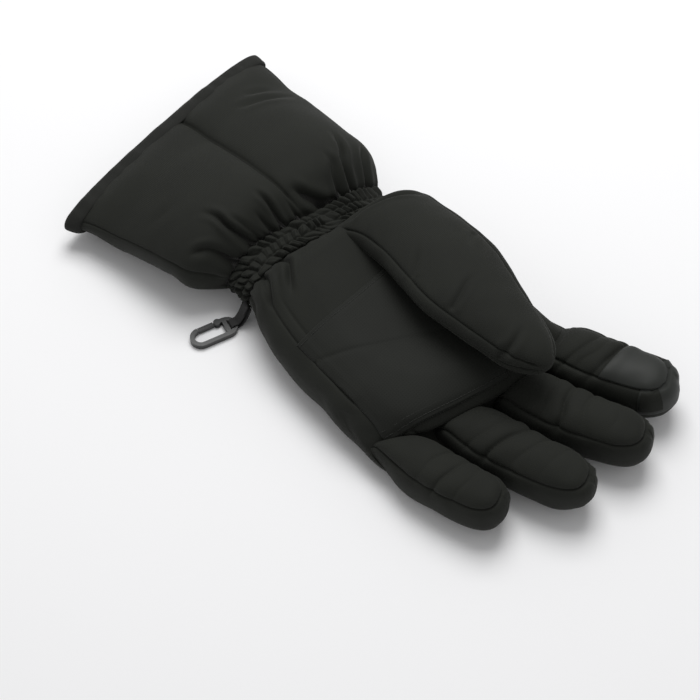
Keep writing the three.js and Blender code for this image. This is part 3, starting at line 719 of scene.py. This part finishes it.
cuffFolds = [
    (4.2, 1.5, 0.5, 0.05, [(-47, -42), (-42, -33), (-40, -24), (-34, -17), (-27, -11)]),
    (1.6, 1.2, 0.5, 0.05, [(-38, -30), (-33, -22), (-26, -14)]),
    (2.8, 1.4, 0.3, 0.05, [(-66, -28), (-57, -24), (-49, -18), (-42, -12)]),
    (1.7, 1.1, 0.3, 0.05, [(-60, -17), (-50, -13), (-44, -10)]),
    (3.2, 1.3, 0.5, 0.05, [(-17, -33), (-15, -25), (-14, -18), (-12, -11)]),
    (1.9, 1.1, 0.5, 0.05, [(-24, -25), (-21, -17), (-18, -10)]),
    (1.8, 1.1, 0.5, 0.05, [(-5, -23), (-4, -16), (-2, -10)]),
    (4.4, 1.8, 0.3, 0.2, [(0, -26), (5, -20), (11, -16), (20, -13), (27, -14)]),
    (3.6, 1.3, 0.5, 0.05, [(46, -42), (41, -31), (35, -24), (31, -14)]),
    (2.0, 1.1, 0.4, 0.05, [(57, -31), (50, -25), (46, -20), (40, -11)]),
    (2.6, 1.4, 0.5, 0.05, [(29, -34), (30, -27), (26, -21), (23, -13)]),
    (1.6, 1.0, 0.4, 0.05, [(60, -22), (55, -18), (50, -11)]),
    (1.5, 2.2, 0.3, 0.5, [(17, -90), (30, -88), (42, -85), (57, -79)]),
    (0.8, 2.0, 0.3, 0.5, [(30, -96), (40, -95), (50, -92)]),
    (0.5, 3.0, 0.4, 0.5, [(-70, -60), (-58, -56), (-44, -57)]),
]


def cuffForm(share, grow):
    turn = glove["turn"] * (1 - share) ** 2
    tall = glove["wristHeight"] * eased(cuffTable, "tall", share) / 2
    width = glove["wristWidth"] + (cuff["hemWidth"] - glove["wristWidth"]) * eased(cuffTable, "flare", share)
    raised = (glove["floorPress"] + cuff["bindingCloth"]) * stepUp(share, 0.65, 0.88)
    shift = cuff["hemWidth"] * eased(cuffTable, "shift", share)
    at = handPoint(shift, -glove["shirring"], tall - glove["floorPress"] + raised)
    return {
        "at": at + share[:, None] * np.array([cuff["hemShift"], cuff["length"], 0]),
        "across": np.stack([np.cos(turn), np.sin(turn), 0 * turn], 1),
        "lift": np.tile(upward, (len(share), 1)),
        "width": width / 2 + grow,
        "height": tall + grow,
    }


def cuffRings(form, share):
    side = seamAngle(cuff["seamLift"], cuff["power"])
    centre = np.arccos((cuff["seamAside"] * share / form["width"]) ** (cuff["power"] / 2))
    return ringsOf(form, cuff["power"], (side, centre, math.pi - side), cuff["cells"])


def makeCuff():
    share = np.linspace(1, 0, cuff["rows"])
    grid = cuffRings(cuffForm(share, -cuff["inset"]), share)
    seams = [0, cuff["cells"][0], cuff["cells"][0] + cuff["cells"][1]]
    held = sewn(np.zeros(grid.shape[:2]), seams, 1)
    grid = finer(puffed(grid, held, cuff))
    down, around = lengthsOf(grid)
    fromWrist = down[-1:] - down
    fade = stepUp(down, 6, 12) * stepUp(fromWrist, 2, 12)
    change = np.zeros(grid.shape[:2])
    for seam, depth in zip(seams, cuff["seamDepths"]):
        column = seam * glove["finer"]
        away = fromColumn(around, column)
        change += fade * groove(away, depth, *cuff["groove"])
        change += fade * puckers(down, away, *cuff["puckers"], 21 + column)
    change += 0.4 * softNoise(down / 30, around / 34, 8)
    change += creases(grid, cuffFolds)
    # Every second gather runs on further up the cuff
    turn = around / around[:, -1:]
    drift = 3 * softNoise(turn * 11, 3, 9)
    size = 1.2 * (0.55 + 0.8 * softNoise(turn * 9, 4, 12)) * np.cos(2 * math.pi * 13 * turn + drift)
    change += size * np.exp(-fromWrist / 9) * stepUp(fromWrist, 0, 2.5)
    change += gathered(turn, fromWrist, 1.6, 2.5, drift, 10)
    outer = onFloor(drawnIn(displaced(grid, change)))
    # The lining side is plain and runs back to the hem
    share = np.linspace(0, 1, 16)
    inner = finerAround(cuffRings(cuffForm(share, -cuff["wall"] - cuff["inset"]), share))
    inner[..., 2] = np.maximum(inner[..., 2], 2.2)
    grid = np.concatenate([outer, drawnIn(inner)])
    obj = meshOf("cuff_shell", grid, closedRows=True, second=(len(outer), len(grid)))
    nodes = ["cuff_front_ulnar", "cuff_front_radial", "cuff_back"]
    dressed(obj, [shellNylon, liningTricot], nodes)


# Hem binding: a ribbon folded over the cut edge and sewn through
def makeBinding():
    # Its section runs from the sewn edge outside, over the hem, to the sewn edge inside
    begin = 1 - cuff["bindingWidth"] / cuff["length"]
    near = begin + np.array([0, 0, 0.01, 0.03, 0.06])
    shares = np.r_[near, 0.99, 1.0, 1.008, 1.012, 1.012, 1.008, 0.99, begin + 0.02, begin]
    wall = -cuff["wall"]
    grows = np.r_[-1.4, -0.6, 0.3, 0.9, 1.2, 1.2, 0.9, 0.2, -0.9, wall * 0.5]
    grows = np.r_[grows, wall - np.array([1.0, 1.8, 1.6, 0.2])]
    outsideRows = 8
    form = cuffForm(np.minimum(shares, 1), 0)
    form["at"] = form["at"] + np.maximum(0, shares - 1)[:, None] * cuff["length"] * hemward
    form["width"] = form["width"] + grows
    form["height"] = form["height"] + grows
    times = 3
    grid = finerAround(finerAlong(cuffRings(form, np.minimum(shares, 1)), times, True))
    around = lengthsOf(grid)[1]
    outside = np.zeros(grid.shape[0])
    outside[:times * outsideRows] = np.sin(np.linspace(0, math.pi, times * outsideRows))
    lumps = 0.6 * softNoise(around / 5, 0, 31) + 0.7 * softNoise(around / 12, 5, 32)
    grid = onFloor(displaced(grid, outside[:, None] * lumps))
    obj = meshOf("cuff_binding_ribbon", grid, closedRows=True)
    dressed(obj, [trimRibbon], ["cuff_binding"])


# Gathered band at the wrist
band = {
    "power": 2.5,
    "inset": 1.2,
    "thickness": 3,
    "overlap": 0.8,  # it goes this far under the cuff and the hand
    "depth": 2.8,
    "rows": (0.3, 0.68),  # where the two elastic rows run, as shares of the band's length
    "lanes": [(46, 1.4), (53, 0.5), (43, 1.8)],  # between the rows: ruffles round the wrist, and their slant
    "columns": 960,
}


def makeBand():
    # Ruffles run along the glove. At each elastic row they are pinched in and start afresh.
    along = np.linspace(-glove["shirring"] - band["overlap"], band["overlap"], 84)
    form = {
        "at": handPoint(0, along, glove["wristHeight"] / 2 - glove["floorPress"]),
        "width": np.full(len(along), glove["wristWidth"] / 2 - band["inset"]),
        "height": np.full(len(along), glove["wristHeight"] / 2 - band["inset"]),
        **sides(len(along)),
    }
    rings = lambda form: finerAround(ringsOf(form, band["power"], (0,), (band["columns"] // glove["finer"],)))
    outer = rings(form)
    turn = (np.arange(band["columns"]) / band["columns"])[None]
    share = ((along - along[0]) / (along[-1] - along[0]))[:, None]
    first, last = band["rows"]
    loop = lambda cells, lane, seed: softNoise(turn * cells, lane, seed) * (1 - bump(turn, 0, 0.01))
    wander = share + 0.09 * loop(9, 2, 45) + 0.05 * loop(29, 5, 46)
    over = [stepUp(wander, row - 0.06, row + 0.06) for row in (first, last)]
    weights = [1 - over[0], over[0] - over[1], over[1]]
    middles = [first / 2, (first + last) / 2, (1 + last) / 2]
    ridge, fine = 0, 0
    for number, (count, slant) in enumerate(band["lanes"]):
        drift = 2.6 * loop(11, number * 3 + share, 41) + 1.3 * loop(31, number * 5 + share * 2, 42)
        lean = slant * (wander - middles[number]) * 3 * (1 + 1.2 * loop(15, number * 7, 44))
        phase = math.pi * count * turn + lean + drift
        ridge = ridge + weights[number] * np.abs(np.cos(phase)) ** 0.75
        fine = fine + weights[number] * np.abs(np.cos(2.03 * phase + 0.9 * drift + 1)) ** 0.8
    size = 1 + 0.75 * loop(29, share * 2.5, 43)
    pinch = 0.7 * bump(wander, first, 0.05) + 0.7 * bump(wander, last, 0.05)
    change = band["depth"] * size * (0.95 * ridge + 0.15 * fine) * (1 - 0.4 * pinch) - 0.8 * pinch
    change -= 0.8 * (bump(share, 0, 0.04) + bump(share, 1, 0.04))
    outer = displaced(outer, change)
    plain = {key: value[::-6] for key, value in form.items()}
    for key in ("width", "height"):
        plain[key] = plain[key] - band["thickness"]
    grid = onFloor(drawnIn(np.concatenate([outer, rings(plain)])))
    obj = meshOf("wrist_gathers", grid, closedRows=True, second=(len(outer), len(grid)))
    dressed(obj, [shellNylon, liningTricot], ["wrist_shirring"])


# Fingers
finger = {
    "reach": 62.5,
    "width": 32,
    "height": 31,
    "curl": 7,
    "seamLift": 0.58,
    "groove": (1.9, 0.55, 2.0),
    "puckers": (0.5, 6, 4.5),
    "start": 0.74,
    "power": 2.7,
    "inset": 0.7,
    "pressure": 3.0,
    "spare": 0.015,
    "cap": 2.6,
    "cells": (15, 26),  # round the palm side, and round the sides and back
}
fingerTable = {
    "along": [0, 0.25, 0.42, 0.62, 0.85, 1],
    "width": [0.72, 0.86, 1, 0.97, 0.93, 0.88],
    "tall": [0.72, 0.86, 1, 0.98, 0.93, 0.86],
}
# Root and tip are shares of the hand's width from its middle. A crease is its place along, and its depth.
fingers = {
    "little": {
        "root": -0.4, "tip": -0.275, "reach": 0.7, "width": 0.95, "tall": 0.94, "slant": -0.25,
        "creases": [(0.63, 1.3), (0.5, 0.7), (0.76, 0.5)],
    },
    "ring": {
        "root": -0.15, "tip": 0.035, "reach": 1.03, "width": 1.03, "tall": 0.98, "slant": -0.4,
        "creases": [(0.54, 2.0), (0.67, 0.9), (0.44, 0.6), (0.8, 0.4)],
    },
    "middle": {
        "root": 0.107, "tip": 0.35, "reach": 1.03, "width": 1.03, "tall": 1, "slant": 0.05,
        "creases": [(0.57, 2.0), (0.68, 0.9), (0.47, 0.7), (0.82, 0.4)],
    },
    "index": {
        "root": 0.375, "tip": 0.605, "reach": 0.81, "width": 1.1, "tall": 1.02, "slant": -0.4, "seam": 0.74,
        "creases": [(0.46, 1.2), (0.61, 2.4), (0.53, 0.6)],
    },
}


def roundEnd(share, start, power):
    t = np.clip((share - start) / (1 - start), 0, 1)
    return np.maximum(0.0, 1 - t**power) ** (1 / power)


def fingerLine(one, share):  # places and directions along the finger's own curved line
    rest = finger["height"] * one["tall"] / 2 - glove["floorPress"]
    reach = finger["reach"] * one["reach"]
    width, length, curl = hand["width"], hand["length"], finger["curl"]
    bend = one["root"] + (one["tip"] - one["root"]) * 0.18
    ends = [
        handPoint(width * one["root"], length * finger["start"], rest),
        handPoint(width * bend, length + reach * 0.35, rest - curl * 0.15),
        handPoint(width * one["tip"], length + reach, rest + curl),
    ]
    t = np.linspace(0, 1, 200)[:, None]
    line = ends[0] * (1 - t) ** 2 + 2 * ends[1] * t * (1 - t) + ends[2] * t**2
    slope = 2 * (1 - t) * (ends[1] - ends[0]) + 2 * t * (ends[2] - ends[1])
    length = np.r_[0, np.cumsum(np.linalg.norm(np.diff(line, axis=0), axis=1))]
    pick = lambda values: np.stack([np.interp(share * length[-1], length, values[:, k]) for k in range(3)], 1)
    ahead = pick(slope)
    return pick(line), ahead / np.linalg.norm(ahead, axis=1, keepdims=True), length[-1]


def fingerForm(one, share, grow):
    at, ahead, length = fingerLine(one, share)
    across = np.cross(upward, ahead)
    across /= np.linalg.norm(across, axis=1, keepdims=True)
    end = roundEnd(share, 0.8, 2.3)
    blunt = roundEnd(share, 0.9, 3.0)
    fullWidth = finger["width"] * one["width"] * eased(fingerTable, "width", share) / 2
    fullHeight = finger["height"] * one["tall"] * eased(fingerTable, "tall", share) / 2
    return {
        "at": at,
        "ahead": ahead,
        "across": across,
        "lift": np.cross(ahead, across),
        "width": np.maximum(0.02, end) * (fullWidth + grow),
        "height": np.maximum(0.02, (0.3 + 0.7 * end) * (0.25 + 0.75 * blunt)) * (fullHeight + grow),
        "fullHeight": fullHeight,
        "seamHeight": one.get("seam", finger["seamLift"]) * fullHeight,
        "length": length,
    }


def domed(first, dome, rows):  # shares along a finger: even rows, then closer ones over its round end
    end = dome + (1 - dome) * np.sin(np.linspace(0, 0.5 * math.pi, 13)[1:])
    return np.r_[np.linspace(first, dome, rows), end]


fingerShares = domed(0.08, 0.8, 25)
fineShares = lambda share: finerAlong(share[:, None], glove["finer"])[:, 0]
lifted = lambda grid, form: ((grid - form["at"][:, None]) * form["lift"][:, None]).sum(-1)


def makeFinger(name):
    one = fingers[name]
    share = fingerShares
    form = fingerForm(one, share, -finger["inset"])
    # The seam closes over the top of the fingertip
    seam = np.arcsin(np.minimum(0.97, form["seamHeight"] / form["height"]) ** (finger["power"] / 2))
    grid = ringsOf(form, finger["power"], (seam, math.pi - seam), finger["cells"])
    height = lifted(grid, form)
    held = bump(height - form["seamHeight"][:, None], 0, 1)
    for place, depth in one["creases"]:
        across = bump((share[:, None] - place) * form["length"], 0, 2.2)
        held = np.maximum(held, 0.4 * depth / 2 * (height > 0) * across)
    held = sewn(np.clip(held, 0, 1), [0, finger["cells"][0]])
    grid = finer(puffed(grid, held, finger))
    fine = np.clip(fineShares(share), 0, 1)
    form = fingerForm(one, fine, 0)
    down, around = lengthsOf(grid)
    up = (normalsOf(grid) * form["lift"][:, None]).sum(-1)
    away = (lifted(grid, form) - form["seamHeight"][:, None]) / np.sqrt(np.maximum(0.1, 1 - up**2))
    side = ((grid - form["at"][:, None]) * form["across"][:, None]).sum(-1)
    seed = sum(map(ord, name))
    change = groove(away, *finger["groove"])
    change += puckers(down + side, away, *finger["puckers"], seed)
    change += 0.5 * softNoise(down / 12, around / 13, seed + 1)
    # Bending creases cross the palm side, strongest in the middle and gone below the seam
    palmSide = stepUp(up, 0.05, 0.7)
    for number, (place, depth) in enumerate(one["creases"]):
        wander = 1.6 * softNoise(side / 9, place * 50, seed + 2)
        cross = np.abs((fine[:, None] - place) * form["length"] + wander + one["slant"] * side)
        reach = stepUp(side * (1 if number % 2 else -1), -13, 4)
        change -= depth * palmSide * (0.3 + 0.7 * reach) * np.exp(-((cross / 1.1) ** 1.2))
        change += 0.3 * depth * palmSide * bump(cross, 4.5, 4)
    grid = displaced(grid, change)
    # At its root the finger comes up from under the padding of the palm
    across, along = ownLines(grid)
    beyond = along - fingerBase(across)
    sink = np.minimum(6, rollDown(beyond, 2.2, 6) + 0.8 * np.maximum(0, -beyond))
    grid[..., 2] -= sink * stepUp(grid[..., 2], 6, 22)
    grid = onFloor(grid)
    obj = meshOf(name + "_finger", grid, capped=True)
    dressed(obj, [shellNylon], [name + "_finger_front", name + "_finger_sides"])
    return grid


# Thumb
thumb = {
    "length": 149,
    "width": 59,
    "height": 27,
    "rise": 53.5,
    "start": 0.03,
    "power": 2.15,
    "inset": 0.8,
    "pressure": 3.0,
    "spare": 0.012,
    "cap": 3.0,
    "seams": (0.5, -0.05),  # the strip between two seams shows along the palm edge
    "groove": (1.7, 0.55, 1.5),
    "puckers": (0.3, 8, 7),
    "cells": (22, 7, 27, 7),  # round the palm side, the strip, the back and the strip again
}
thumbTable = {
    "along": [-0.09, 0, 0.13, 0.27, 0.41, 0.56, 0.71, 0.84, 1],
    "middle": [0.15, 0.18, 0.218, 0.218, 0.202, 0.183, 0.168, 0.162, 0.168],
    "width": [0.74, 0.84, 0.86, 0.87, 0.93, 0.94, 0.78, 0.63, 0.5],
    "tall": [0.85, 1.0, 1.12, 1.1, 1.03, 1, 0.97, 0.92, 0.82],
    "rise": [0.46, 0.64, 0.78, 0.88, 0.96, 1, 1, 0.985, 0.96],
}
thumbFolds = [
    (0.9, 1.5, 0.1, 0.7, [(2, 72), (8, 68), (15, 63), (22, 60)]),
    (1.3, 1.6, 0.1, 0.7, [(2, 101), (10, 99), (19, 96), (28, 95)]),
    (1.6, 1.6, 0.1, 0.7, [(3, 133), (9, 136), (16, 135), (24, 132)]),
    (1.8, 1.6, 0.1, 0.35, [(8, 12), (20, 12), (36, 21), (48, 34)]),
    (0.7, 1.8, 0.1, 0.7, [(46, 72), (40, 76), (34, 82)]),
]


def thumbForm(share, grow):
    end = roundEnd(share, 0.83, 2.1)
    low = (0.35 + 0.65 * end) * (0.25 + 0.75 * roundEnd(share, 0.92, 3.0))
    fullWidth = thumb["width"] * eased(thumbTable, "width", share) / 2
    fullHeight = thumb["height"] * eased(thumbTable, "tall", share) / 2
    middle = hand["width"] * eased(thumbTable, "middle", share)
    along = hand["length"] * thumb["start"] + share * thumb["length"]
    return {
        "at": handPoint(middle, along, thumb["rise"] * eased(thumbTable, "rise", share)),
        "width": np.maximum(0.02, end) * (fullWidth + grow),
        "height": np.maximum(0.02, low) * (fullHeight + grow),
        # The seams are at a share of this height, and run round the tip where the strip is out of sight
        "seamUnit": fullHeight * (1 - (1 - low) * stepUp(share, 0.78, 0.94)),
        **sides(len(share)),
    }


def makeThumb():
    share = domed(-0.05, 0.83, 43)
    form = thumbForm(share, -thumb["inset"])
    angles = [
        np.arcsin(np.minimum(0.97, abs(lift) * form["seamUnit"] / form["height"]) ** (thumb["power"] / 2))
        for lift in thumb["seams"]
    ]
    upper, lower = angles[0], -angles[1]
    ends = (upper, math.pi - upper, math.pi - lower, 2 * math.pi + lower)
    grid = ringsOf(form, thumb["power"], ends, thumb["cells"])
    fromSeam = lambda lift: lifted(grid, form) - lift * form["seamUnit"][:, None]
    held = np.maximum(*(bump(fromSeam(lift), 0, 1) for lift in thumb["seams"]))
    held = sewn(held, np.r_[0, np.cumsum(thumb["cells"][:3])])
    grid = finer(puffed(grid, held, thumb))
    fine = np.minimum(fineShares(share), 1)
    form = thumbForm(fine, 0)
    down, around = lengthsOf(grid)
    slope = np.sqrt(np.maximum(0.1, 1 - normalsOf(grid)[..., 2] ** 2))
    side = ownLines(grid - form["at"][:, None])[0]
    change = 0.3 * softNoise(down / 24, around / 24, 51)
    for lift in thumb["seams"]:
        away = fromSeam(lift) / slope
        change += groove(away, *thumb["groove"]) * (1 - stepUp(fine, 0.97, 1))[:, None]
    change += puckers(down + side, fromSeam(thumb["seams"][0]) / slope, *thumb["puckers"], 52)
    change += creases(grid, thumbFolds)
    obj = meshOf("thumb", drawnIn(displaced(grid, change)), capped=True)
    dressed(obj, [shellNylon], ["thumb_front", "thumb_back"])


# Palm patch: grip cloth laid on the palm, edges turned under and topstitched
patch = {
    "across": (-55, 14),
    "top": [(-57, 50), (-28, 50.5), (14, 47)],
    "bottom": [(-60, 116.5), (-34, 125.5), (-3, 132), (14, 134.5)],
    "fold": [(-58, 62), (-26, 81), (5, 96), (14, 100)],
    "thickness": 1.7,
    "lift": 0.55,
    "step": 1.0,
    "rows": 80,
    "stitchIn": 2.2,
    "stitchGap": 2.4,  # between the two rows along the lower edge
}


def onto(tree, across, along):  # heights of a surface under points of the glove's lines
    points = handPoint(across, along, 0)
    normals = np.zeros(points.shape)
    for index in np.ndindex(points.shape[:-1]):
        start = Vector(toFrame(points[index] + upward * 120))
        place, normal, _, _ = tree.ray_cast(start, Vector((0, 0, -1)))
        points[index][2] = place.z * 1000 - origin[2]
        normals[index] = normal
    return points, normals


def makePatch(handObject):
    shape = handObject.data
    tree = BVHTree.FromPolygons([v.co for v in shape.vertices], [p.vertices for p in shape.polygons])
    left, right = patch["across"]
    top, bottom, fold = (smoothPath(patch[key]) for key in ("top", "bottom", "fold"))
    across = np.linspace(left, right, int((right - left) / patch["step"]))[None].repeat(patch["rows"], 0)
    begin = np.interp(across, top[:, 0], top[:, 1])
    end = np.interp(across, bottom[:, 0], bottom[:, 1])
    along = begin + (end - begin) * np.linspace(0, 1, patch["rows"])[:, None]
    points = onto(tree, across, along)[0]
    z = points[..., 2]
    for _ in range(12):  # the cloth bridges the seam grooves under it
        around = z[2:, 1:-1] + z[:-2, 1:-1] + z[1:-1, 2:] + z[1:-1, :-2]
        z[1:-1, 1:-1] = 0.5 * z[1:-1, 1:-1] + 0.125 * around
    edge = np.minimum(np.minimum(along - begin, end - along), across - left)
    lift = patch["lift"] + 0.5 * stepUp(edge, 0, 1.5) - 0.45 * bump(np.abs(edge - patch["stitchIn"]), 0, 0.8)
    lift -= 0.8 * np.exp(-toPath(fold, across, along)[0] / 1.1)
    below = np.array([0, 80, -200])
    points = points + openNormals(points, below) * lift[..., None]
    obj = slabOf("palm_patch_cloth", points, patch["thickness"], below)
    dressed(obj, [patchCloth], ["palm_patch"])
    inset = patch["stitchIn"]
    x = np.linspace(left + 2, right, 60)
    for name, path, shift in (
        ("outer", bottom, -inset), ("inner", bottom, -inset - patch["stitchGap"]), ("top", top, inset),
    ):
        line, up = onto(tree, x, np.interp(x, path[:, 0], path[:, 1]) + shift)
        stitchRow("patch_stitches_" + name, line + up * (patch["lift"] + 0.25))


# Stitches: a geometry node tree lays one short thread after another along a line
thread = {"Length": 2.1, "Pitch": 2.5, "Radius": 0.13}


def stitchTree(material):
    tree = bpy.data.node_groups.new("stitch_row", "GeometryNodeTree")
    tree.interface.new_socket("Geometry", in_out="INPUT", socket_type="NodeSocketGeometry")
    for name in thread:
        tree.interface.new_socket(name, in_out="INPUT", socket_type="NodeSocketFloat")
    tree.interface.new_socket("Geometry", in_out="OUTPUT", socket_type="NodeSocketGeometry")
    given = addNode(tree, "NodeGroupInput").outputs
    curve = addNode(tree, "GeometryNodeMeshToCurve", {}, {"Mesh": given["Geometry"]})
    evenly = {"Curve": curve.outputs[0], "Length": given["Pitch"]}
    spaced = addNode(tree, "GeometryNodeResampleCurve", {"mode": "LENGTH"}, evenly)
    points = addNode(tree, "GeometryNodeCurveToPoints", {"mode": "EVALUATED"}, {"Curve": spaced.outputs[0]})
    ends = {}
    for name, share in (("Start", -0.5), ("End", 0.5)):
        half = addNode(tree, "ShaderNodeMath", {"operation": "MULTIPLY"}, {0: given["Length"], 1: share})
        ends[name] = addNode(tree, "ShaderNodeCombineXYZ", {}, {"Z": half.outputs[0]}).outputs[0]
    line = addNode(tree, "GeometryNodeCurvePrimitiveLine", {}, ends)
    ring = addNode(tree, "GeometryNodeCurvePrimitiveCircle", {}, {"Resolution": 6, "Radius": given["Radius"]})
    profile = {"Curve": line.outputs[0], "Profile Curve": ring.outputs[0], "Fill Caps": True}
    stitch = addNode(tree, "GeometryNodeCurveToMesh", {}, profile).outputs[0]
    placed = {"Points": points.outputs["Points"], "Instance": stitch, "Rotation": points.outputs["Rotation"]}
    many = addNode(tree, "GeometryNodeInstanceOnPoints", {}, placed)
    real = addNode(tree, "GeometryNodeRealizeInstances", {}, {"Geometry": many.outputs[0]})
    finish = {"Geometry": real.outputs[0], "Material": material}
    done = addNode(tree, "GeometryNodeSetMaterial", {}, finish)
    addNode(tree, "NodeGroupOutput", {}, {"Geometry": done.outputs[0]})
    return tree


def stitchRow(name, points):
    mesh = bpy.data.meshes.new(name)
    edges = [(i, i + 1) for i in range(len(points) - 1)]
    mesh.from_pydata([tuple(p) for p in toFrame(points)], edges, [])
    guide = addObject(name + "_guide", mesh)
    modifier = guide.modifiers.new("stitches", "NODES")
    modifier.node_group = stitches
    for item in stitches.interface.items_tree:
        if item.name in thread:
            modifier[item.identifier] = thread[item.name] / 1000
    bpy.context.view_layer.update()
    graph = bpy.context.evaluated_depsgraph_get()
    made = bpy.data.meshes.new_from_object(guide.evaluated_get(graph))
    bpy.data.objects.remove(guide)
    dressed(linked(name, made), [])


# Index fingertip: conductive cloth on the pad, with a small facing sewn over the end and a tab on that
pad = {
    "far": 0.945,  # share along the finger
    "near": (0.675, 0.6),  # aslant, further on towards the thumb's side
    "rows": 64,
    "raise": 0.35,
    "thickness": 0.8,
}
tip = {
    "centre": 0.84,  # share along the finger that the end cloths are laid round
    "cells": (26, 40),
    "thickness": 0.9,
    "facing": {"turn": (-98, 60), "lift": (-0.25, 0.72), "raise": 0.3},
    "tab": {"turn": (-93, -50), "lift": (-0.08, 0.66), "raise": 0.75},
}


def tipCloth(name, grid):  # a piece laid round the fingertip's end, from one side turn to another
    size = tip[name]
    form = fingerForm(fingers["index"], np.array([tip["centre"]]), 0)
    at, ahead, across, lift = (form[key][0] for key in ("at", "ahead", "across", "lift"))
    cells = np.arange(grid.shape[0] * grid.shape[1]).reshape(grid.shape[:2])
    aside = np.roll(cells, -1, 1)
    quads = np.stack([cells[:-1], aside[:-1], aside[1:], cells[1:]], -1).reshape(-1, 4).tolist()
    tree = BVHTree.FromPolygons([tuple(p) for p in grid.reshape(-1, 3)], quads)
    rows, columns = tip["cells"]
    points = []
    for high in np.linspace(*size["lift"], rows) * form["fullHeight"][0]:
        for turn in np.radians(np.linspace(*size["turn"], columns)):
            out = ahead * math.cos(turn) + across * math.sin(turn)
            place, normal, _, _ = tree.ray_cast(Vector(at + out * 60 + lift * high), Vector(-out))
            points.append(np.array(place) + np.array(normal) * size["raise"])
    return slabOf("index_tip_" + name, np.array(points).reshape(rows, columns, 3), tip["thickness"], at)


def makePad(grid):
    columns = finger["cells"][0] * glove["finer"] - 1
    share = fineShares(fingerShares)
    rows = np.arange(len(share))
    begin = np.interp(np.linspace(*pad["near"], columns), share, rows)
    end = np.interp(pad["far"], share, rows)
    want = begin + (end - begin) * np.linspace(0, 1, pad["rows"])[:, None]
    strip = (grid + normalsOf(grid) * pad["raise"])[:, 1:columns + 1]
    low = np.floor(want).astype(int)
    part = (want - low)[..., None]
    column = np.arange(columns)
    raised = strip[low, column] * (1 - part) + strip[low + 1, column] * part
    obj = slabOf("index_pad", raised, pad["thickness"], grid.reshape(-1, 3).mean(0))
    dressed(obj, [padCloth], ["index_touch_pad"])
    dressed(tipCloth("facing", grid), [padCloth])
    dressed(tipCloth("tab", grid), [shellNylon])


stitches = stitchTree(stitchThread)
addCamera()
addStage()
print("camera and stage made")
handShell = makeHand()
print("hand made")
makeCuff()
makeBinding()
print("cuff made")
makeBand()
print("gathers made")
fingerGrids = {name: makeFinger(name) for name in fingers}
print("fingers made")
makeThumb()
print("thumb made")
makePatch(handShell)
makePad(fingerGrids["index"])
print("patch and pad made")

# The clip and its tape keep the frame's solids, whose shape is right
clip = {"clip_body": mouldedAcetal, "clip_gate": mouldedAcetal, "clip_tape": tapeWebbing}
for node, material in clip.items():
    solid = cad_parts[node]
    solid.data.materials.clear()
    solid.data.materials.append(material)
